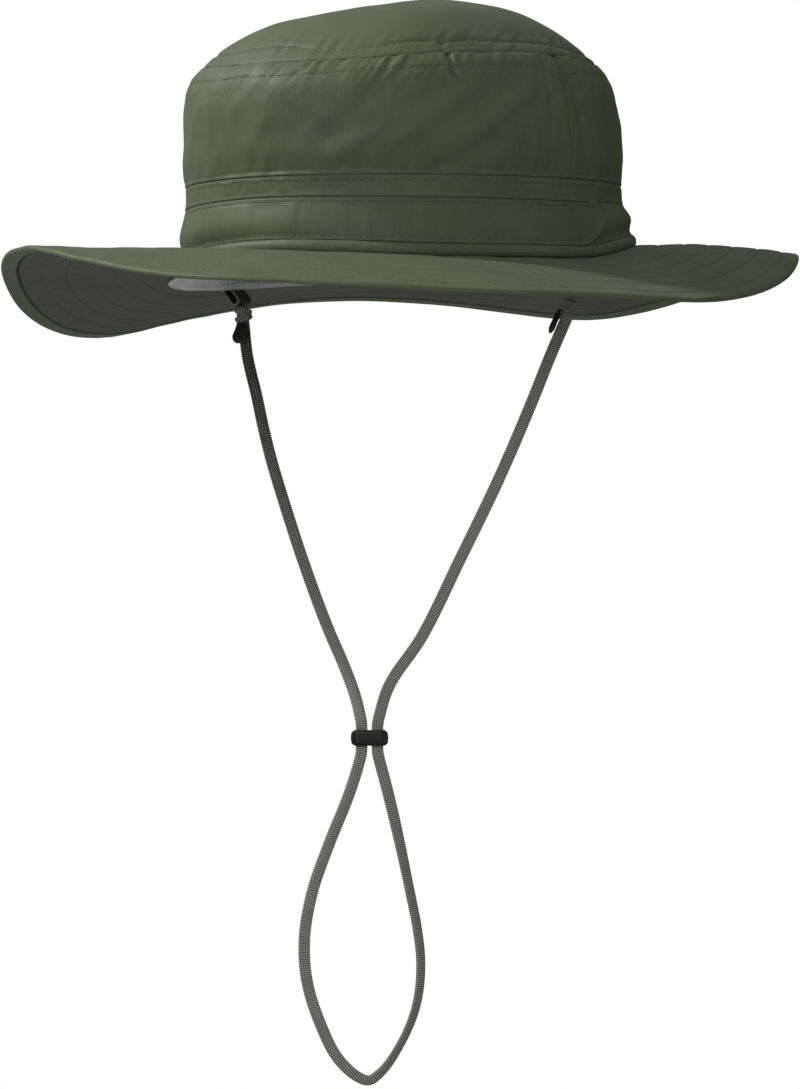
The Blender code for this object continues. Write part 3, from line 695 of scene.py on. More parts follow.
def tubeWithEnds(name, rings, material, threads):
    # rings of points joined into a tube whose ends are closed by one face each
    count, sides = rings.shape[:2]
    faces = gridFaces(count, sides, True, False).tolist()
    ends = [list(range(sides))[::-1], list(range((count - 1) * sides, count * sides))]
    corners = gridThreads(threads, count, sides, True, False)
    endThreads = np.concatenate((threads[0, :sides][::-1], threads[-1, :sides]))
    return newPiece(name, rings, faces + ends, material, np.concatenate((corners, endThreads)))


def flatSection(sides, width, thickness):
    # rounded flat section: a squared-off ellipse, with its distance across for the threads
    turn = np.arange(sides) * 2 * np.pi / sides
    x = np.sign(np.cos(turn)) * np.abs(np.cos(turn)) ** 0.75 * width / 2
    y = np.sign(np.sin(turn)) * np.abs(np.sin(turn)) ** 0.62 * thickness / 2
    return x, y


def fullRoute():
    # smooth curves above, below and again above the toggle with straight runs between them,
    # and a little more at both ends that runs into the knots
    def mouth(side, end):
        return (cord["toggleAcross"] + slotPlace(side), 0.0,
                cord["toggleUp"] + end * (cord["toggleHeight"] / 2 + cord["straight"]))

    parts = []
    scale = (hat["crownWidth"], hat["crownWidth"], cord["drop"])
    for start, table, stop in (((), cordDown, (mouth(-1, 1),)),
                               ((mouth(-1, -1),), cordLoop, (mouth(1, -1),)),
                               ((mouth(1, 1),), cordUp, ())):
        rows = np.array(table) * scale
        knots = np.array([*start, *rows, *stop]) @ np.array((across, away, (0, 0, 1)))
        parts.append(evenLine(knots, cord["ring"]))
    line = np.concatenate(parts)
    first, last = unit(line[0] - line[10]), unit(line[-1] - line[-11])
    line = np.concatenate((line[:1] + first * cord["tuck"], line, line[-1:] + last * cord["tuck"]))
    reach = alongLine(line)
    at = np.linspace(0, reach[-1], int(round(reach[-1] / cord["ring"])) + 1)
    even = np.stack([np.interp(at, reach, line[:, axis]) for axis in range(3)], -1)
    smoothed = np.stack([runningMean(even[:, axis], 6) for axis in range(3)], -1)
    smoothed[:6], smoothed[-6:] = even[:6], even[-6:]
    return smoothed, parts[0][0], parts[-1][-1]


def makeCord(line):
    # flat section along the line, ribbed by 1 + sin of the way along, turned by the twist table
    reach = alongLine(line)
    share = reach / reach[-1]
    turns = np.radians(np.interp(share, cordTwist[:, 0], cordTwist[:, 1]))
    turns = runningMean(turns, 30)
    ways, widths, faces = flatFrames(line, away, turns)
    x, y = flatSection(cord["sides"], cord["width"] - 2 * cord["rib"], cord["thickness"] - 2 * cord["rib"])
    crowned = 1 - 0.10 * (x / (cord["width"] / 2)) ** 2
    swell = cord["rib"] * (1 + np.sin(reach * 2 * np.pi / cordLook["pick"]))[:, None]
    outX = x[None, :] + np.sign(x)[None, :] * swell * (np.abs(x) / (cord["width"] / 2))[None, :] ** 2
    outY = (y * crowned)[None, :] + np.sign(y)[None, :] * swell
    rings = line[:, None] + widths[:, None] * outX[..., None] + faces[:, None] * outY[..., None]
    lanes = np.concatenate((x, x[:1]))
    threads = np.stack(np.broadcast_arrays(reach[:, None], lanes[None, :]), -1)
    piece = tubeWithEnds("cord_braid", rings, cordBraid, threads)
    return dress(piece, "grey braided cord", "chin_cord")


cordLine, cordStart, cordStop = fullRoute()
cordPiece = makeCord(cordLine)

# surfaces with detail pushed along their normals


def normalsOf(surface, first, second, firstStep, secondStep):
    # cross product of the surface's central differences along its two parameters
    along = surface(first + firstStep, second) - surface(first - firstStep, second)
    up = surface(first, second + secondStep) - surface(first, second - secondStep)
    normals = np.cross(along, up)
    return normals / np.maximum(np.linalg.norm(normals, axis=-1, keepdims=True), 1e-12)


def creases(around, up, table):
    # sum of soft lines: depth times a bell of the distance to the line between two points;
    # rows give both ends in millimetres, half width and depth in millimetres
    total = np.zeros(np.broadcast(around, up).shape)
    for startA, startB, endA, endB, width, depth in table:
        runA, runB = (endA - startA) * mm, (endB - startB) * mm
        offA, offB = around - startA * mm, up - startB * mm
        part = np.clip((offA * runA + offB * runB) / (runA ** 2 + runB ** 2), 0, 1)
        distance = np.hypot(offA - part * runA, offB - part * runB)
        total += depth * mm * bell(distance, width * mm)
    return total


def rowLevels(low, high, step, *lines):
    # even levels with extra ones close to each stitched or folded line
    levels = [np.arange(low, high, step), (high,)]
    for line in lines:
        levels.append(line + np.array((-1.6, -1.0, -0.6, -0.3, 0.0, 0.3, 0.6, 1.0, 1.6)) * mm)
    found = np.unique(np.round(np.concatenate(levels), 5))
    return found[(found >= low - 1e-6) & (found <= high + 1e-6)]


def ringAngles(count):
    # even angles once round, from the middle of the back
    return 180 + np.arange(count) * 360.0 / count


def roundReach(points):
    # distance round a closed row of points, with the whole way round as its last entry
    steps = np.linalg.norm(np.diff(np.concatenate((points, points[:1])), axis=0), axis=1)
    return np.concatenate(((0,), np.cumsum(steps)))


def threadGrid(around, up):
    # thread coordinates of a grid: distance round for the columns, distance up for the rows
    return np.stack(np.broadcast_arrays(around[None, :], up[:, None]), -1)


def gridPiece(name, points, threads, material, joined, closed=False):
    # a grid of points as one piece with its faces and thread coordinates
    faces = gridFaces(points.shape[0], points.shape[1], joined, closed)
    corners = gridThreads(threads, points.shape[0], points.shape[1], joined, closed)
    return newPiece(name, points, faces, material, corners)


# crown

crown = {
    "cloth": 1.2 * mm,
    "columns": 280,
    "tipColumns": 440,
    "arc": 93.0,  # millimetres round the wall per radian, for the tables of creases
    "roll": 0.38 * mm,  # how far a seam's edge turns in
    "pucker": 0.34 * mm,
    # uneven lie of the cloth, wide and fine, and the tip's dents: height, size and seed
    "waves": (0.35 * mm, 21 * mm, 3),
    "fabric": (0.30 * mm, 7 * mm, 4),
    "dents": (1.1 * mm, 42 * mm, 11),
    "smallDents": (0.30 * mm, 14 * mm, 12),
    "gatheredAt": 14.0,  # angle where the wall is gathered most under the tip's seam
    "tapeRow": 23.0 * mm,  # level of the tape's upper stitches
    "tipShare": 0.88,  # the tip's mean radius in shares of the wall's
    # creases in from the tip's edge: angle, depth, half width, and shares where they set in
    "nicks": ((96, 0.8 * mm, 1.2 * mm, 0.86, 0.92), (52, 0.9 * mm, 1.0 * mm, 0.91, 0.96)),
}

# distance of the tip's topstitch from the middle, in shares, by angle
tipRow = np.array((
    (-150, 0.938), (-100, 0.945), (-50, 0.935), (-20, 0.915), (2, 0.908), (18.6, 0.948),
    (30.4, 0.941), (45, 0.933), (49.5, 0.934), (53, 0.944), (57, 0.935), (71, 0.938),
    (88, 0.938), (104, 0.961), (150, 0.940),
))

# level of the stitch row on the wall under the tip's seam, by angle
shoulderRow = np.array((
    (-150, 68.4), (-90, 68.0), (-16, 68.1), (0, 68.1), (12, 68.6), (25, 69.2), (45, 69.2), (56, 69.7),
    (75, 69.4), (90, 66.9), (98, 68.1), (150, 68.6),
))

# soft folds of the wall: angle and level at both ends, half width and depth in millimetres
wallFolds = (
    (33.6, 44.8, 20.4, 32.8, 3.6, 0.80), (60.2, 61.9, 36.8, 39.4, 3.8, 0.95),
    (76.0, 60.7, 57.4, 42.0, 3.6, 0.90), (33.8, 61.3, 19.6, 43.1, 4.2, -0.90),
    (64.6, 39.4, 48.6, 28.5, 4.0, -0.85), (46.0, 58.0, 30.0, 52.0, 4.0, -0.35),
    (90.0, 74.0, 93.5, 50.0, 2.9, -0.95), (93.5, 50.0, 95.5, 26.0, 2.9, -0.85),
    (86.0, 70.0, 88.0, 34.0, 2.6, 0.45), (99.5, 70.0, 100.5, 32.0, 2.8, 0.45),
    (83.0, 74.0, 81.4, 64.7, 0.8, -0.45), (81.4, 64.7, 82.0, 51.0, 0.9, -0.60),
    (82.0, 51.0, 79.5, 27.0, 0.8, -0.30), (53.0, 75.0, 53.8, 66.0, 1.0, -1.30),
    (53.8, 66.0, 57.0, 63.5, 1.4, -0.50), (90.6, 75.0, 90.6, 70.5, 1.0, -0.70),
    (8.0, 60.0, -4.0, 40.0, 5.0, 0.50), (-14.0, 62.0, -20.0, 36.0, 5.0, -0.45),
    (-28.0, 60.0, -36.0, 34.0, 4.5, 0.60), (-44.0, 58.0, -56.0, 32.0, 5.0, -0.70),
    (-66.0, 62.0, -78.0, 36.0, 4.5, 0.70), (-88.0, 60.0, -96.0, 34.0, 4.5, -0.75),
    (-112.0, 60.0, -122.0, 38.0, 5.0, 0.80), (-136.0, 58.0, -150.0, 34.0, 5.0, -0.80),
    (118.0, 62.0, 132.0, 38.0, 5.0, 0.80), (142.0, 58.0, 156.0, 34.0, 5.0, -0.80),
    (168.0, 60.0, 176.0, 34.0, 5.0, 0.70),
)


def foldTable(table):
    # the same folds with angles turned into millimetres round the wall
    degree = np.radians(1.0) * crown["arc"]
    return [(row[0] * degree, row[1], row[2] * degree, *row[3:]) for row in table]


def wallAround(angles):
    # distance round the wall from the front's middle, in metres
    return np.radians(turnFrom(angles)) * crown["arc"] * mm


def sidePush(angles, level):
    # folds, plus puckers at both stitched edges, plus the edges' own rolls
    around = wallAround(angles)
    row = smoothRead(shoulderRow[:, 0], shoulderRow[:, 1], angles, 360) * mm
    push = creases(around, level, foldTable(wallFolds))
    push += unevenness(around, level, crown["waves"]) + unevenness(around, level, crown["fabric"])
    slanted = clothNoise(around - 0.75 * level, level * 0.30, 2.0 * mm, 5)
    above = softStep(level, row - 1.0 * mm, row + 1.5 * mm)
    gathered = 0.45 + 0.3 * roundNoise(angles, 16, 8) + 0.75 * bell(turnFrom(angles, crown["gatheredAt"]), 32)
    push += crown["pucker"] * slanted * (1.1 * gathered * above + 0.7 * bell(level - row + 4 * mm, 6 * mm))
    low = clothNoise(around - 0.15 * level, level * 0.22, 3.4 * mm, 6)
    push += crown["pucker"] * low * bell(level - hat["tapeTop"] - 3 * mm, 7 * mm)
    push *= softStep(level, hat["tapeTop"], hat["tapeTop"] + 3 * mm)
    lively = 0.45 + 0.55 * roundNoise(angles, 34, 7)
    push += 0.22 * mm * above - 0.26 * mm * lively * bell(level - row, 0.6 * mm)
    push -= 1.3 * crown["roll"] * edgeRoll(hat["seamHeight"] - level, 1.1 * mm)
    foot = level - hat["tapeTop"] - 0.3 * mm
    push += 0.12 * mm * bell(foot - 0.6 * mm, 0.6 * mm) - 0.12 * mm * bell(foot - 2.0 * mm, 0.8 * mm)
    return push - 0.25 * mm * edgeRoll(foot, 0.4 * mm)


def onWall(angles, level, push):
    # the crown's wall plus a push along its normal
    normals = normalsOf(wallPoint, angles, level, 0.4, 0.4 * mm)
    return wallPoint(angles, level) + normals * push[..., None], normals


def wallPanel(name, first, last, levels, push, columns):
    # panel between two angles: each level's own first and last angle, columns even between
    part = np.linspace(0, 1, columns)[None, :]
    starts, stops = (np.broadcast_to(end, levels.shape)[:, None] for end in (first, last))
    angles = starts * (1 - part) + stops * part
    points, _ = onWall(angles, levels[:, None] + 0 * angles, push(angles, levels[:, None]))
    threads = np.stack(np.broadcast_arrays(np.radians(angles) * crown["arc"] * mm, levels[:, None]), -1)
    return gridPiece(name, points, threads, nylonUpright, False)


def makeSides():
    # front and back panel between the two side seams
    low, high = hat["tapeTop"] + 0.3 * mm, hat["seamHeight"] - 0.1 * mm
    levels = rowLevels(low, high, 0.95 * mm, low + 1.0 * mm, 68.6 * mm, high)
    seam, gap = hat["sideSeam"], 0.06
    front = wallPanel("crown_front", -seam + gap, seam - gap, levels, sidePush, crown["columns"])
    back = wallPanel("crown_back", seam + gap, 360 - seam - gap, levels, sidePush, crown["columns"])
    for piece, node in ((front, "crown_side_front"), (back, "crown_side_back")):
        dress(wall(piece, crown["cloth"]), "olive woven nylon", node)


def tipPush(angles, share):
    # topstitched groove, puckers either side of it, soft dents and the rolled edge
    around = wallAround(angles)
    radius = crown["tipShare"] * crown["arc"] * mm
    row = smoothRead(tipRow[:, 0], tipRow[:, 1], angles, 360)
    off = (share - row) * radius
    point = tipPoint(angles, share)
    x, y = point[..., 0], point[..., 1]
    push = unevenness(x + 0.3, y + 0.3, crown["dents"]) + unevenness(x, y, crown["smallDents"])
    radial = clothNoise(around * np.clip(share, 0.55, 1), share * radius * 0.2, 3.6 * mm, 13)
    push = push * softStep(1 - share, 0, 0.12)
    beside = 0.6 * bell(off + 3 * mm, 4 * mm) + 0.8 * bell(off - 2.5 * mm, 2.5 * mm)
    push += crown["pucker"] * radial * beside
    lively = 0.65 + 0.35 * roundNoise(angles, 40, 14)
    push += 0.16 * mm * softStep(off, 0.2 * mm, 2.2 * mm) - 0.55 * mm * lively * bell(off, 0.8 * mm)
    for angle, depth, width, start, full in crown["nicks"]:
        push -= depth * bell(around - wallAround(angle), width) * softStep(share, start, full)
    return push - 1.3 * crown["roll"] * edgeRoll((1 - share) * radius, 1.1 * mm)


def onTip(angles, share):
    # the crown's tip plus its push along its normal
    normals = -normalsOf(tipPoint, angles, share, 0.4, 0.004)
    return tipPoint(angles, share) + normals * tipPush(angles, share)[..., None], normals


def makeTip():
    # rings from the edge inwards and a fan of triangles at the middle
    edge = 1 - np.array((0.0, 0.2, 0.45, 0.8)) * mm / 0.08
    shares = np.concatenate((edge, np.arange(0.985, 0.875, -0.0045), np.linspace(0.872, 0.012, 36)))
    angles = ringAngles(crown["tipColumns"])
    points, _ = onTip(angles[None, :] + 0 * shares[:, None], shares[:, None] + 0 * angles[None, :])
    rows, columns = points.shape[:2]
    middle = points[-1].mean(0)
    flat = np.concatenate((points, points[:, :1]), 1)[..., :2]
    faces = gridFaces(rows, columns, True, False).tolist()
    last, around = (rows - 1) * columns, np.arange(columns)
    fan = np.stack((last + around, last + (around + 1) % columns, np.full(columns, rows * columns)), -1)
    corners = gridThreads(flat, rows, columns, True, False)
    centres = np.broadcast_to(middle[:2], (columns, 2))
    fanThreads = np.stack((flat[-1, :-1], flat[-1, 1:], centres), 1).reshape(-1, 2)
    threads = np.concatenate((corners, fanThreads))
    places = np.concatenate((points.reshape(-1, 3), middle[None, :]))
    tip = newPiece("crown_top", places, faces + fan.tolist(), nylonLevel, threads)
    dress(wall(tip, crown["cloth"]), "olive woven nylon", "crown_tip")


def tapePush(angles, level):
    # recess under the wall's edge, a stitched groove, a flat middle and a rolled lower edge
    around = wallAround(angles)
    inside = softStep(level, hat["tapeLow"] + 1 * mm, hat["tapeLow"] + 2.2 * mm)
    inside = inside * softStep(-level, -24.9 * mm, -23.4 * mm)
    push = crown["pucker"] * 0.8 * inside * clothNoise(around, level * 0.3, 2.4 * mm, 21)
    push -= 0.30 * mm * softStep(level, hat["tapeTop"] - 0.7 * mm, hat["tapeTop"] + 0.2 * mm)
    push -= 0.12 * mm * bell(level - crown["tapeRow"], 0.5 * mm)
    low = level - hat["tapeLow"]
    return push + 0.10 * mm * bell(low - 0.6 * mm, 0.5 * mm) - 0.25 * mm * edgeRoll(low, 0.4 * mm)


def wallRing(name, levels, push, thickness, columns, slot, node):
    # ring round the crown whose cloth thickness is on its inner side
    angles = ringAngles(columns)
    grid = angles[None, :] + 0 * levels[:, None]
    points, _ = onWall(grid, levels[:, None] + 0 * grid, push(grid, levels[:, None] + 0 * grid))
    threads = threadGrid(roundReach(points[len(levels) // 2]), levels)
    piece = wall(gridPiece(name, points, threads, nylonUpright, True), thickness)
    return dress(piece, slot, node)


lowerBand = {
    "low": 5.0 * mm,
    "high": 18.5 * mm,
    "rows": (6.3 * mm, 16.6 * mm),  # levels of its two rows of stitches
    "waves": (0.25 * mm, 15 * mm, 32),  # height, size and seed
    "hollow": 3.0 * mm,  # how far its foot is pushed in before the right ear
    "hollowAt": -40.0,
    "bulgeAt": 120.0,  # angle of the bulge past the left ear
    "columns": 340,
}

# angle where the front band's overlapping edge lies, by level in millimetres
bandEdge = np.array(((5.2, 92.4), (7.3, 96.6), (12.2, 101.4), (15.0, 100.6), (17.4, 99.4), (18.2, 99.2)))


def bandPush(angles, level, over=True):
    # stitched grooves at both edges, a shallow hollow at the front, a bulge near the left
    # ear; the front band lies over the back one at their ends
    around = wallAround(angles)
    push = crown["pucker"] * 0.6 * clothNoise(around, level * 0.35, 3.2 * mm, 31)
    push += unevenness(around, level, lowerBand["waves"])
    push *= softStep(-level, -17.2 * mm, -15.0 * mm)
    sunk = bell(turnFrom(angles, lowerBand["hollowAt"]), 40)
    push -= lowerBand["hollow"] * sunk * bell(level - lowerBand["low"], 3.0 * mm)
    bulge = 1.3 * mm * bell(level - 12 * mm, 4 * mm) - 1.1 * mm * bell(level - 7 * mm, 2.5 * mm)
    push += bulge * bell(turnFrom(angles, lowerBand["bulgeAt"]), 16)
    for row in lowerBand["rows"]:
        push -= 0.12 * mm * bell(level - row, 0.5 * mm)
    push -= 0.30 * mm * softStep(level, hat["tapeLow"] - 0.7 * mm, hat["tapeLow"] + 0.2 * mm)
    edge = smoothRead(bandEdge[:, 0] * mm, bandEdge[:, 1], level)
    past = np.radians(np.abs(turnFrom(angles)) - edge) * crown["arc"] * mm
    if over:
        raised = 0.85 * mm * softStep(past, -9 * mm, -1 * mm)
        return push + raised - 0.4 * mm * edgeRoll(-past, 0.4 * mm)
    return push - 0.4 * mm * softStep(-past, -3 * mm, 0.5 * mm) - 0.9 * mm * bell(past - 0.1 * mm, 0.9 * mm)


def makeBands():
    # front band up to its slanted edge, and the back band that runs under it
    levels = rowLevels(lowerBand["low"], lowerBand["high"], 0.8 * mm, *lowerBand["rows"])
    edge = smoothRead(bandEdge[:, 0] * mm, bandEdge[:, 1], levels)
    front = wallPanel("band_front_cloth", -edge, edge, levels, bandPush, lowerBand["columns"])
    back = wallPanel("band_back_cloth", 91.0, 269.0, levels,
                     lambda angles, level: bandPush(angles, level, over=False), lowerBand["columns"])
    for piece, node in ((front, "band_front"), (back, "band_back")):
        dress(wall(piece, crown["cloth"]), "olive woven nylon", node)


welt = {
    "columns": 700,
    "sides": 16,
    "half": 2.5,  # half the section's height and half its depth in millimetres
    "halfDepth": 1.75,
    "inset": 0.6,  # how far its middle lies inside the wall's line, in millimetres
    "puckers": (0.20 * mm, 3.0 * mm, 41),  # height, size and seed
    "hollow": 2.3 * mm,  # how far it is pushed in before the right ear
    "hollowAt": -40.0,
}


def makeWelt():
    # closed roll round the joint: an upright oval section, level 0 to 5 mm
    turn = np.arange(welt["sides"]) * 2 * np.pi / welt["sides"]
    grid = ringAngles(welt["columns"])[None, :] + 0 * turn[:, None]
    level = (welt["half"] + welt["half"] * np.sin(turn))[:, None] * mm + 0 * grid
    out = (-welt["inset"] + welt["halfDepth"] * np.cos(turn))[:, None] * mm + 0 * grid
    out = out + unevenness(wallAround(grid), level * 0.4, welt["puckers"])
    sunk = bell(turnFrom(grid, welt["hollowAt"]), 40)
    out = out + 0.25 * mm * roundNoise(grid, 40, 42) - welt["hollow"] * sunk
    points, _ = onWall(grid, level, out)
    rolled = np.concatenate((turn, (2 * np.pi,))) * 2.2 * mm
    threads = threadGrid(roundReach(points[0]), rolled)
    roll = gridPiece("welt_roll", points, threads, nylonUpright, True, True)
    dress(roll, "olive woven nylon", "crown_welt")


makeSides()
makeTip()
tapeLevels = rowLevels(hat["tapeLow"] + 0.1 * mm, hat["tapeTop"] + 0.8 * mm, 0.55 * mm,
                       18.8 * mm, crown["tapeRow"])
wallRing("tape_cloth", tapeLevels, tapePush, 1.4 * mm, 480, "olive woven nylon", "crown_tape")
makeBands()
makeWelt()
print("stage: crown made")

# brim

brim = {
    "cloth": 1.1 * mm,
    "full": 1.9 * mm,
    "hem": 5.7 * mm,
    "gap": 0.9 * mm,  # open line between the hem and the lining
    "rows": (6.0, 16.0, 26.0, 36.0, 46.0, 57.0),  # stitch rows, millimetres in from the rim
    "groove": 0.26 * mm,
    "underGroove": 0.42 * mm,
    "grooveWidth": 0.5 * mm,
    "pillow": 0.10 * mm,
    "pucker": 0.14 * mm,
    "fabric": 0.20 * mm,  # uneven lie of the cloth
    "arc": 130 * mm,  # distance round the brim per radian, for the cloth's unevenness
    "deepAt": 105.0,  # angle where the grooves are deepest
    "columns": 680,
    "wobble": 0.22 * mm,  # waver of the rim
    "inwards": 72.0 * mm,  # more than the brim's width; rows past the crown are drawn back to it
    "topSeed": 60,
    "underSeed": 70,
}


def brimShare(angles, inward):
    # share of the brim's width for a distance in from the rim
    return 1 - inward / brimWidth(angles)


def brimRowNear(inward):
    # distance to the nearest stitch row, and how far between two rows, 0 at rows and 1 between
    rows = np.array(brim["rows"]) * mm
    nearest = np.min(np.abs(inward[..., None] - rows), -1)
    return nearest, softStep(nearest, 0.4 * mm, 4.5 * mm)


def brimPush(angles, inward, seed, groove=brim["groove"]):
    # grooves at the stitch rows with slight pillows between them, small puckers along each
    # row and a gentle unevenness of the cloth
    nearest, between = brimRowNear(inward)
    around = np.radians(turnFrom(angles)) * brim["arc"]
    groove = groove * (0.7 + 0.9 * bell(turnFrom(angles, brim["deepAt"]), 45))
    push = brim["pillow"] * between - groove * bell(nearest, brim["grooveWidth"])
    lively = 0.5 + 0.5 * roundNoise(angles, 26, seed + 1) ** 2
    gathers = clothNoise(around, inward * 0.45, 3.0 * mm, seed + 2) * bell(nearest, 3.2 * mm)
    push += brim["pucker"] * gathers * lively
    return push + brim["fabric"] * clothNoise(around, inward, 11 * mm, seed + 3)


def onBrim(angles, inward, below, push, down=False):
    # the brim at a distance in from the rim and a depth below its top, plus a push
    def sheetAt(first, second):
        return brimPoint(first, brimShare(first, second), below)

    normals = normalsOf(sheetAt, angles, inward, 0.3, 0.5 * mm)
    if down:
        normals = -normals
    return sheetAt(angles, inward) + normals * push[..., None], normals


def brimRows(low, high, step):
    # even distances in from the rim with extra ones at the stitch rows
    lines = [row * mm for row in brim["rows"]]
    return rowLevels(low, high, step, *lines)


def makeBrimTop():
    # closed section: over the top to the rim, round it, back along the hem and under the
    # filling to the crown again
    angles = ringAngles(brim["columns"])
    inner = brimWidth(angles)
    edge = brim["wobble"] * roundNoise(angles, 90, 51)
    top = brimRows(0.0, brim["inwards"], 1.9 * mm)
    rows = [onBrim(angles, np.minimum(inward + 0 * angles, inner), 0.0,
                   brimPush(angles, inward + 0 * angles, brim["topSeed"]))[0] for inward in top[::-1]]
    rows = [onBrim(angles, inner, 0.0, 0 * angles)[0]] + rows
    nose = np.radians((-50, -25, 0, 25, 50))
    depths = brim["full"] * (0.5 + 0.42 * np.sin(nose) / np.sin(nose[-1]))
    noses = [onBrim(angles, -0.75 * mm * np.cos(turn) - 0.1 * edge, depth, 0 * angles)[0]
             for turn, depth in zip(nose, depths)]
    soft = 0.12 * mm * roundNoise(angles, 200, 52)
    under = [onBrim(angles, inward * mm + 0 * angles, brim["full"], soft, True)[0]
             for inward in (0.3, 1.0, 2.2, 3.6, 4.7, 5.2, 5.6)]
    hidden = [brimPoint(angles, brimShare(angles, inward), brim["cloth"])
              for inward in (brim["hem"], 30 * mm, 60 * mm, inner)]
    points = np.stack(rows + noses + under + hidden)[::-1]
    points = points + 0.6 * edge[None, :, None] * np.array((0, 0, 1.0)) * softStep(
        np.linalg.norm(points[..., :2], axis=-1), 0.12, 0.17)[..., None]
    flat = np.concatenate((points, points[:, :1]), 1)
    flat = np.concatenate((flat, flat[:1]), 0)[..., :2]
    piece = gridPiece("brim_cloth", points, flat, nylonLevel, True, True)
    dress(piece, "olive woven nylon", "brim")


def makeBrimUnder():
    # closed section: stitched face from the hem's gap to the crown and a plain back
    angles = ringAngles(brim["columns"])
    inner = brimWidth(angles)
    low = brim["hem"] + brim["gap"]
    inwards = brimRows(low, brim["inwards"], 2.4 * mm)
    face = [onBrim(angles, np.minimum(inward + 0 * angles, inner), brim["full"],
                   brimPush(angles, inward + 0 * angles, brim["underSeed"], brim["underGroove"])
                   - 0.15 * mm, True)[0] for inward in inwards]
    face.append(onBrim(angles, inner, brim["full"], 0 * angles, True)[0])
    back = [brimPoint(angles, brimShare(angles, inward), brim["cloth"] + 0.2 * mm)
            for inward in (inner, 50 * mm, 28 * mm, low)]
    points = np.stack(face + back)[::-1]
    flat = np.concatenate((points, points[:, :1]), 1)
    flat = np.concatenate((flat, flat[:1]), 0)[..., :2]
    piece = gridPiece("brim_under_cloth", points, flat, liningCloth, True, True)
    dress(piece, "dark grey lining", "brim_lining")


makeBrimTop()
makeBrimUnder()
print("stage: brim made")

# sweatband inside the head opening

sweat = {
    "inset": 3.3 * mm,
    "low": -4.3 * mm,
    "high": 22.5 * mm,
    "flare": 6.5 * mm,  # how far the lower edge leans out before the right ear
    "flareAt": -52.0,
    "hollow": 2.5 * mm,  # how far it gives way to the welt and band
    "hollowAt": -40.0,
    "fabric": (0.30 * mm, 4.0 * mm, 81),  # height, size and seed
    "thickness": 1.2 * mm,
    "stitch": -2.4 * mm,
    "columns": 360,
}


def sweatPoint(angles, level):
    # the crown wall moved in, with its lower edge let down and out before the right ear
    near = bell(turnFrom(angles, sweat["flareAt"]), 26) * softStep(-level, -1 * mm, 4.3 * mm)
    hollow = sweat["hollow"] * bell(turnFrom(angles, sweat["hollowAt"]), 42) * bell(level - 5 * mm, 5 * mm)
    points = wallPoint(angles, level, sweat["flare"] * near - sweat["inset"] - hollow)
    return points - np.array((0, 0, 1.0)) * (1.4 * mm * near)[..., None]


def makeSweatband():
    # ring inside the crown with puckers and one groove where a row of stitches would sit, near its lower edge
    levels = rowLevels(sweat["low"], sweat["high"], 1.4 * mm, sweat["stitch"], sweat["low"] + 0.6 * mm)
    grid = ringAngles(sweat["columns"])[None, :] + 0 * levels[:, None]
    level = levels[:, None] + 0 * grid
    push = unevenness(wallAround(grid), level * 0.4, sweat["fabric"])
    push -= 0.35 * mm * bell(level - sweat["stitch"], 0.7 * mm)
    normals = normalsOf(sweatPoint, grid, level, 0.4, 0.4 * mm)
    points = sweatPoint(grid, level) + normals * push[..., None]
    threads = threadGrid(roundReach(points[len(levels) // 2]), levels)
    piece = wall(gridPiece("sweatband_knit", points, threads, knitCloth, True), sweat["thickness"])
    dress(piece, "light grey knit", "sweatband")


makeSweatband()
print("stage: sweatband made")

# stitches: one short capsule repeated along each row

stitch = {
    "length": 2.1 * mm,
    "pitch": 3.0 * mm,
    "radius": 0.14 * mm,
    "sides": 4,
}


def stitchPlaces(rowPoint, count, first=180.0, span=360.0):
    # the middles, directions and normals of stitches evenly round a row
    angles = first + (np.arange(count) + 0.5) * span / count
    middle, normals = rowPoint(angles)
    ahead, _ = rowPoint(angles + 0.15)
    ways = ahead - middle
    return middle, ways / np.linalg.norm(ways, axis=1, keepdims=True), normals


def stitchMesh(name, rows, material, slot):
    # four rings along each stitch: radius 0.45 r at the ends and r in the middle, ends sunk
    middle, ways, normals = (np.concatenate([row[part] for row in rows]) for part in range(3))
    sides = np.cross(ways, normals)
    sides /= np.linalg.norm(sides, axis=1, keepdims=True)
    along = np.array((-0.5, -0.40, 0.40, 0.5)) * stitch["length"]
    girth = np.array((0.45, 1.0, 1.0, 0.45)) * stitch["radius"]
    sink = np.array((-0.9, 0.0, 0.0, -0.9)) * stitch["radius"]
    turn = np.arange(stitch["sides"]) * 2 * np.pi / stitch["sides"]
    wide = girth[:, None] * np.cos(turn)[None, :]
    deep = girth[:, None] * np.sin(turn)[None, :] + sink[:, None]
    points = (middle[:, None, None] + ways[:, None, None] * along[None, :, None, None]
              + sides[:, None, None] * wide[None, ..., None] + normals[:, None, None] * deep[None, ..., None])
    each = 4 * stitch["sides"]
    body = gridFaces(4, stitch["sides"], True, False)
    first = np.arange(len(middle))[:, None, None] * each
    faces = (first + body[None]).reshape(-1, 4).tolist()
    start = np.arange(stitch["sides"])[::-1]
    ends = np.stack((start, np.arange(stitch["sides"]) + 3 * stitch["sides"]))
    faces += (first + ends[None]).reshape(-1, stitch["sides"]).tolist()
    piece = newPiece(name, points.reshape(-1, 3), faces, material)
    return dress(piece, slot)


def wallRowPoint(level, push, lift=0.05 * mm):
    # function for points on the wall at a fixed level or along a table's level
    def rowPoint(angles):
        at = (smoothRead(level[:, 0], level[:, 1], angles, 360) * mm if isinstance(level, np.ndarray)
              else level + 0 * angles)
        points, normals = onWall(angles, at, push(angles, at))
        return points + normals * lift, normals

    return rowPoint


def tipRowPoint(angles):
    # points in the tip's topstitched groove
    points, normals = onTip(angles, smoothRead(tipRow[:, 0], tipRow[:, 1], angles, 360))
    return points + normals * 0.05 * mm, normals


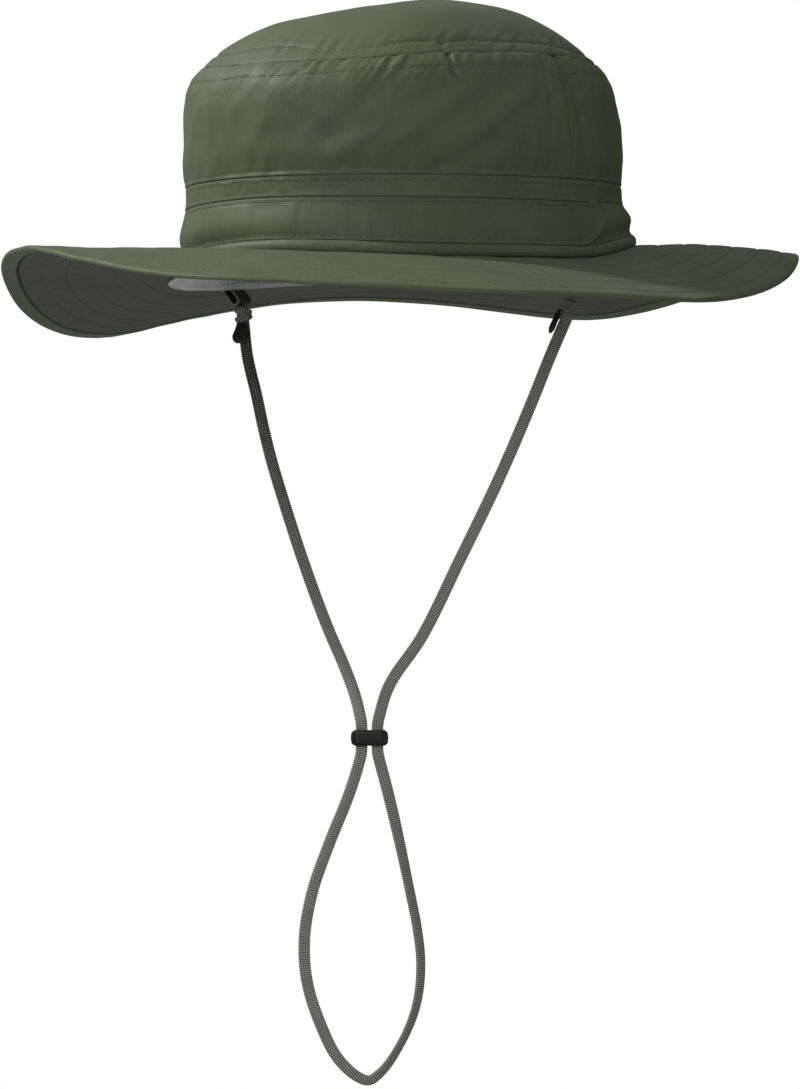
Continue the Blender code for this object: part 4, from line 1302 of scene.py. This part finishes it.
def brimRowPoint(inward, seed, below=0.0, down=False):
    # function for points on the brim at a fixed distance in from the rim
    def rowPoint(angles):
        at = inward + 0 * angles
        offset = -0.15 * mm if down and inward > brim["hem"] else 0.0
        groove = brim["underGroove"] if down else brim["groove"]
        points, normals = onBrim(angles, at, below, brimPush(angles, at, seed, groove) + offset, down)
        return points - normals * 0.02 * mm, normals

    return rowPoint


def makeStitches():
    # counts are the way round each row divided by the pitch
    around = 560 * mm
    low, high = lowerBand["rows"]
    crownRows = [
        stitchPlaces(tipRowPoint, int(around * 0.86 / stitch["pitch"])),
        stitchPlaces(wallRowPoint(shoulderRow, sidePush), int(around * 0.92 / stitch["pitch"])),
        stitchPlaces(wallRowPoint(crown["tapeRow"], tapePush), int(around * 0.95 / stitch["pitch"])),
        stitchPlaces(wallRowPoint(high, bandPush), int(around / stitch["pitch"]), -98.0, 196.0),
        stitchPlaces(wallRowPoint(low, bandPush), int(around * 0.5 / stitch["pitch"]), -93.0, 186.0),
    ]
    stitchMesh("crown_stitches", crownRows, oliveThread, "olive woven nylon")
    topRows, underRows = [], []
    for row in brim["rows"]:
        ring = roundReach(onBrim(ringAngles(200), row * mm + np.zeros(200), 0.0, np.zeros(200))[0])[-1]
        count = int(ring / stitch["pitch"])
        topRows.append(stitchPlaces(brimRowPoint(row * mm, brim["topSeed"]), count))
        if row * mm > brim["hem"]:
            under = brimRowPoint(row * mm, brim["underSeed"], brim["full"], True)
            underRows.append(stitchPlaces(under, count))
    stitchMesh("brim_stitches", topRows, oliveThread, "olive woven nylon")
    stitchMesh("lining_stitches", underRows, charcoalThread, "dark grey lining")
    hem = brimRowPoint(5.5 * mm, brim["underSeed"], brim["full"] + 0.25 * mm, True)
    stitchMesh("hem_stitches", [stitchPlaces(hem, 340)], oliveThread, "olive woven nylon")


makeStitches()
print("stage: stitches made")

# ear attachments: webbing loops, knots and sealed cord ends

ear = {
    "webWidth": 9.5 * mm,
    "webThickness": 1.2 * mm,
    "webSpread": 2.8 * mm,
    "webOut": 3.2 * mm,
    "knotWidth": 7.4 * mm,
    "knotLength": 6.8 * mm,
    "knotGap": 0.8 * mm,
}


def earFrame(side):
    # where the cord meets the knot, the way up through it, its middle and the webbing's foot
    near, far = (cordStart, cordLine[12]) if side < 0 else (cordStop, cordLine[-13])
    way = unit(near - far)
    knotWay = unit(way + np.array((0, 0, 1.0)))
    middle = near + knotWay * (ear["knotGap"] + ear["knotLength"] / 2)
    spare = ear["knotWidth"] / 2 * np.sqrt(1 - knotWay[2] ** 2)
    foot = middle + knotWay * (ear["knotLength"] / 2 + 0.3 * mm + ear["webThickness"] / 2 + spare)
    return near, way, knotWay, middle, foot


def sweep(name, line, widthWay, width, thickness, sides, material, swell=0.0, square=0.62):
    # flat section carried along a line, its width kept square to the line; swell rounds it
    # out by that share towards the middle of its length
    ways = np.gradient(line, axis=0)
    ways /= np.linalg.norm(ways, axis=1, keepdims=True)
    widths = widthWay - ways * (ways @ widthWay)[:, None]
    widths /= np.linalg.norm(widths, axis=1, keepdims=True)
    faces = np.cross(ways, widths)
    turn = np.arange(sides) * 2 * np.pi / sides
    x = np.sign(np.cos(turn)) * np.abs(np.cos(turn)) ** square / 2
    y = np.sign(np.sin(turn)) * np.abs(np.sin(turn)) ** square / 2
    part = np.linspace(0, 1, len(line))
    grow = (1 + swell * (4 * part * (1 - part)))[:, None]
    wide = np.broadcast_to(width, len(line))[:, None] * grow * x[None, :]
    deep = np.broadcast_to(thickness, len(line))[:, None] * grow * y[None, :]
    rings = line[:, None] + widths[:, None] * wide[..., None] + faces[:, None] * deep[..., None]
    reach = alongLine(line)
    lanes = np.concatenate((x, x[:1])) * np.mean(width)
    threads = np.stack(np.broadcast_arrays(reach[:, None], lanes[None, :]), -1)
    return tubeWithEnds(name, rings, material, threads)


def makeWebbing(side, word):
    # strap from the brim down to the knot, round a half circle and up again
    _, _, _, _, foot = earFrame(side)
    angle = np.array((side * np.degrees(np.arccos(-foot[1] * 2 / hat["crownLength"])),))
    anchor = brimPoint(angle, ear["webOut"] / brimWidth(angle), brim["full"] + 0.4 * mm)[0]
    up = unit((anchor[0] - foot[0], 0, anchor[2] - foot[2]))
    right = unit(np.array((side, 0, 0)) - up * up[0] * side)
    broad = np.cross(right, up)
    rise = (anchor - foot) @ up
    radius = ear["webSpread"] / 2
    slope = radius * abs(up[0]) / up[2]
    bend = np.radians(np.arange(0, -181, -15))
    x = np.concatenate(((radius,) * 14, radius * np.cos(bend), (-radius,) * 14))
    top = radius + 0.3 * mm
    y = np.concatenate((np.linspace(rise + slope * 0.6, top, 14), radius * np.sin(bend) + radius,
                        np.linspace(top, rise - slope, 14)))
    line = foot + right * x[:, None] + up * y[:, None]
    sway = 0.35 * mm * np.sin(np.linspace(0, np.pi * 2, len(line)))
    line = line + right * sway[:, None]
    piece = sweep("webbing_" + word, line, broad, ear["webWidth"], ear["webThickness"], 24, blackWebbing,
                  square=0.45)
    return dress(piece, "black webbing", "webbing_loop_" + word)


def roundedSolid(name, middle, broad, up, sizes, bulge, material, slot, rings=26, sides=36, ridge=None):
    # rounded barrel: width and depth times the square root of one minus height to a power;
    # ridge gives a height added along the normal for the turn and the height
    out = np.cross(broad, up)
    height = np.sin(np.linspace(-np.pi / 2, np.pi / 2, rings))
    height = height[1:-1]
    reach = (1 - np.abs(height) ** bulge) ** (1 / bulge)
    turn = np.arange(sides) * 2 * np.pi / sides
    extra = ridge(turn[None, :], height[:, None]) if ridge else 0.0 * height[:, None]
    wide = (sizes[0] / 2 * reach[:, None] + extra) * np.cos(turn)[None, :]
    deep = (sizes[2] / 2 * reach[:, None] + extra) * np.sin(turn)[None, :]
    points = (middle + broad * wide[..., None] + out * deep[..., None]
              + up * (sizes[1] / 2 * height)[:, None, None])
    wrapped = np.concatenate((turn, (2 * np.pi,))) * sizes[0] / 2
    threads = np.stack(np.broadcast_arrays((sizes[1] / 2 * height)[:, None], wrapped[None, :]), -1)
    piece = tubeWithEnds(name, points[:, ::-1], material, threads[:, ::-1])
    return dress(piece, slot)


def makeFarKnot():
    # overhand knot of the flat cord seen broadside: two tilted turns of cord round a core,
    # with two thin strands crossing at its upper corner
    _, _, up, middle, _ = earFrame(-1)
    broad = unit(across - up * (across @ up))
    out = np.cross(broad, up)
    core = roundedSolid("knot_core_right", middle, broad, up, (5.6 * mm, 6.4 * mm, 3.6 * mm), 3.0, knotBraid,
                        "grey braided cord")
    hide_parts("cord_knot_right")
    made = [core]
    turns = np.linspace(0, 2 * np.pi, 61)[:-1]
    for word, tilt, place, width in (("low", 24, -1.35, 3.3), ("high", -20, 1.45, 3.1)):
        lean = np.radians(tilt)
        ringWide = broad * np.cos(lean) + up * np.sin(lean)
        ringUp = up * np.cos(lean) - broad * np.sin(lean)
        wide, deep = 3.05 * mm, 2.15 * mm
        line = (middle + up * place * mm + ringWide * (wide * np.cos(turns))[:, None]
                + out * (deep * np.sin(turns))[:, None])
        made.append(wrapTurn("knot_turn_right_" + word, line, ringUp, width * mm, 1.25 * mm))
    for word, low, high in (("one", (-1.6, -1.2), (0.8, 3.0)), ("two", (-2.9, 1.3), (-0.2, 3.6))):
        at = np.linspace(0, 1, 18)[:, None]
        start = broad * low[0] * mm + up * low[1] * mm
        stop = broad * high[0] * mm + up * high[1] * mm
        arch = out * (2.55 * mm * np.sin(np.pi * np.clip(at * 0.9 + 0.05, 0, 1)) ** 0.5)
        side = -1 if out @ away > 0 else 1
        line = middle + start + (stop - start) * at + side * arch
        piece = sweep("knot_strand_right_" + word, line, broad, 0.9 * mm, 0.8 * mm, 8, knotBraid, square=1.0)
        made.append(dress(piece, "grey braided cord"))
    return made


def wrapTurn(name, line, upWay, width, thickness):
    # one closed turn of flat cord round a knot
    count, sides = len(line), 16
    ways = np.roll(line, -1, 0) - np.roll(line, 1, 0)
    ways /= np.linalg.norm(ways, axis=1, keepdims=True)
    outs = np.cross(ways, upWay)
    x, y = flatSection(sides, width, thickness)
    points = line[:, None] + upWay * x[None, :, None] + outs[:, None] * y[None, :, None]
    reach = roundReach(line)
    threads = np.stack(np.broadcast_arrays(reach[:, None], np.concatenate((x, x[:1]))[None, :]), -1)
    faces = gridFaces(count, sides, True, True)
    corners = gridThreads(threads, count, sides, True, True)
    turned = corners.reshape(-1, 4, 2)[:, ::-1].reshape(-1, 2)
    piece = newPiece(name, points, faces[:, ::-1], knotBraid, turned)
    return dress(piece, "grey braided cord")


def makeNearKnot():
    # whipping of thin cord: ten slanted turns round an oval core, with a strand laid along it
    _, _, up, middle, _ = earFrame(1)
    broad = unit(across - up * (across @ up))
    out = np.cross(broad, up)
    core = roundedSolid("knot_core_left", middle, broad, up, (4.4 * mm, 6.6 * mm, 5.2 * mm), 4.0, knotBraid,
                        "grey braided cord")
    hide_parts("cord_knot_left")
    turns = np.linspace(0, 9 * 2 * np.pi, 9 * 26)
    height = np.linspace(-3.15, 3.15, len(turns)) * mm
    slant = -0.45 * mm * np.cos(turns)
    line = (middle + broad * (2.25 * mm * np.cos(turns))[:, None] + out * (2.75 * mm * np.sin(turns))[:, None]
            + up * (height + slant)[:, None])
    whip = sweep("knot_whipping_left", line, up, 0.74 * mm, 0.74 * mm, 8, knotBraid, square=1.0)
    at = np.linspace(-1, 1, 20)[:, None]
    side = -1 if out @ away > 0 else 1
    laid = middle + up * at * 3.3 * mm + broad * (0.5 + 0.35 * at) * mm
    laid = laid + side * out * (3.1 - 0.6 * at ** 4) * mm
    strand = sweep("knot_strand_left", laid, broad, 0.95 * mm, 0.8 * mm, 8, knotBraid, square=1.0)
    return [core, dress(whip, "grey braided cord"), dress(strand, "grey braided cord")]


def makeCordEnd(side, word, turned):
    # flattened sealed end of the cord: narrow at the top, widest lower down, blunt at the foot
    near, way, _, _, _ = earFrame(side)
    broad, thin = (away, across) if turned else (across, away)
    out = unit(thin - way * (thin @ way))
    lift = 4.8 * mm if turned else 1.8 * mm
    aside = 0 * across if turned else -across * 1.6 * mm
    middle = near - way * (3.8 + 0.3) * mm - out * ((lift + 2.4 * mm) / 2 + 0.3 * mm) + aside
    part = np.linspace(0, 1, 26)
    top = 6.2 if turned else 4.3
    line = middle + way * (top - (top + 4.0) * part)[:, None] * mm
    width = smoothRead((0, 0.15, 0.35, 0.62, 0.8, 0.93, 1.0), (2.6, 3.6, 5.2, 7.3, 7.2, 5.8, 4.2), part) * mm
    thickness = smoothRead((0, 0.1, 0.5, 0.9, 1.0), (1.3, 1.9, 2.3, 2.0, 1.1), part) * mm
    piece = sweep("sealed_end_" + word, line, broad, width, thickness, 28, blackWebbing, square=0.5)
    return dress(piece, "black webbing", "cord_end_" + word)


# toggle: two sleeves side by side with a ribbed outer end each

toggle = {
    "rib": 0.62 * mm,
    "ribHeight": 0.14 * mm,
}


# height in shares of half the sleeve's, and share of the way from the slot to the outline
sleeveRows = (
    (-0.80, 0.0), (-0.97, 0.07), (-1.0, 0.30), (-1.0, 0.62), (-0.95, 0.86), (-0.82, 0.97), (-0.60, 1.0),
    (0.0, 1.0), (0.60, 1.0), (0.82, 0.97), (0.95, 0.86), (1.0, 0.62), (1.0, 0.30), (0.97, 0.07), (0.80, 0.0),
)


def makeSleeve(side, word):
    # ring of closed sections round the cord's slot; its outline is a rounded box whose outer
    # end carries fine ribs
    columns = 168
    turn = np.arange(columns) * 2 * np.pi / columns
    middle = across * cord["toggleAcross"] + np.array((0, 0, cord["toggleUp"]))
    centre = middle + across * slotPlace(side)
    slotHalf = cord["width"] / 2 + cord["gap"]
    innerEnd = cord["web"] / 2 + slotHalf + 0.25 * mm
    outerEnd = cord["toggleWidth"] / 2 - abs(slotPlace(side))
    cosine, sine = np.cos(turn), np.sin(turn)
    reach = np.where(cosine * side > 0, outerEnd, innerEnd)
    power = np.where(cosine * side > 0, 0.55, 0.05)
    x = np.sign(cosine) * np.abs(cosine) ** power * reach
    y = np.sign(sine) * np.abs(sine) ** 0.45 * cord["toggleDepth"] / 2
    holeX = np.sign(cosine) * np.abs(cosine) ** 0.7 * slotHalf
    holeY = np.sign(sine) * np.abs(sine) ** 0.6 * (cord["thickness"] / 2 + cord["gap"])
    ribbed = softStep(np.abs(x), outerEnd * 0.50, outerEnd * 0.72) * (cosine * side > 0)
    ribs = toggle["ribHeight"] * ribbed * np.cos(alongLine(np.stack((x, y), -1)) * 2 * np.pi / toggle["rib"])
    tall = cord["toggleHeight"] / 2
    rows = []
    for height, share in sleeveRows:
        drawn = 1 - 0.55 * max(0.0, abs(height) - 0.30) ** 2 * (cosine * side > 0)
        outX = holeX + (x * drawn - holeX) * share + ribs * (share > 0.9) * cosine
        outY = holeY + (y - holeY) * share + ribs * (share > 0.9) * sine
        level = centre + np.array((0, 0, 1.0)) * height * tall
        rows.append(level + across * outX[:, None] + away * outY[:, None])
    points = np.stack(rows)
    faces = gridFaces(len(rows), columns, True, True)
    piece = newPiece("toggle_sleeve_" + word, points, faces, toggleBlack)
    rounding = piece.modifiers.new("edges", "BEVEL")
    rounding.width = 0.12 * mm
    rounding.segments = 2
    rounding.limit_method = "ANGLE"
    return dress(piece, "black moulded plastic")


def makeAttachments():
    # both ears and the toggle; the pieces the cord carries come second
    made = [makeWebbing(-1, "right"), makeWebbing(1, "left")]
    carried = makeFarKnot() + makeNearKnot()
    carried += [makeCordEnd(-1, "right", False), makeCordEnd(1, "left", True)]
    sleeves = [makeSleeve(-1, "right"), makeSleeve(1, "left")]
    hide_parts("cord_toggle")
    return made, carried + sleeves


loops, carried = makeAttachments()
print("stage: attachments made")

# room: pale floor well below, bright backdrop, soft light from all round but behind, two lamps

room = {
    "floor": -0.62,
    "backdrop": 1.0,  # brightness of the backdrop behind the hat
    "surroundings": 0.38,  # brightness of the light from all round
    "behind": 0.06,  # and of the unlit wall behind the hat
    "floorReach": 3.4,
    "tints": ("a8a8a7", "aeaead"),
}

# name, turn round the hat and rise in degrees, distance and size in metres, power in watts
lamps = (
    ("key", -64.0, 45.0, 3.0, 0.20, 84.0),
    ("fill", 18.0, 15.0, 3.0, 1.60, 26.0),
)


def makeLamp(name, turn, rise, distance, size, power):
    # round lamp that looks at the hat's middle
    turn, rise = np.radians(turn), np.radians(rise)
    data = bpy.data.lights.new(name, "AREA")
    data.shape = "DISK"
    data.size = size
    data.energy = power
    lamp = bpy.data.objects.new(name, data)
    way = np.array((np.sin(turn) * np.cos(rise), -np.cos(turn) * np.cos(rise), np.sin(rise)))
    lamp.location = way * distance
    lamp.rotation_euler = (np.pi / 2 - rise, 0, turn)
    bpy.context.scene.collection.objects.link(lamp)


def makeRoom():
    # floor disc, world light that fades towards the wall behind the hat, and the lamps
    bpy.ops.mesh.primitive_circle_add(vertices=128, radius=room["floorReach"], fill_type="NGON",
                                      location=(0, 0, room["floor"]))
    floor = bpy.context.active_object
    floor.name = "floor"
    paper, tree, shader = newMaterial("pale paper")
    place = addNode(tree, "ShaderNodeTexCoord").outputs["Object"]
    cloud = addNode(tree, "ShaderNodeTexNoise", {}, {"Vector": place, "Scale": 1.5, "Detail": 2.0})
    dull, pale = (toLinear(shade) for shade in room["tints"])
    tint = blend(tree, cloud.outputs["Fac"], dull, pale)
    tree.links.new(tint, shader.inputs["Base Color"])
    setShader(shader, {"Roughness": 0.9, "Specular IOR Level": 0.0})
    floor.data.materials.append(paper)
    world = bpy.data.worlds.new("studio")
    world.use_nodes = True
    sky = world.node_tree
    seen = addNode(sky, "ShaderNodeLightPath").outputs["Is Camera Ray"]
    way = addNode(sky, "ShaderNodeTexCoord").outputs["Generated"]
    facing = {0: way, 1: unit(away + across / 2)}
    toWall = addNode(sky, "ShaderNodeVectorMath", {"operation": "DOT_PRODUCT"}, facing)
    around = remap(sky, toWall.outputs["Value"], 0.50, 0.90, room["surroundings"], room["behind"])
    strength = addNode(sky, "ShaderNodeMix", {}, {0: seen, 2: around, 3: room["backdrop"]}).outputs[0]
    background = sky.nodes["Background"]
    background.inputs["Color"].default_value = (1, 1, 1, 1)
    sky.links.new(strength, background.inputs["Strength"])
    bpy.context.scene.world = world
    for row in lamps:
        makeLamp(*row)
    bpy.context.scene.view_settings.view_transform = "Standard"


makeRoom()
print("stage: room made")
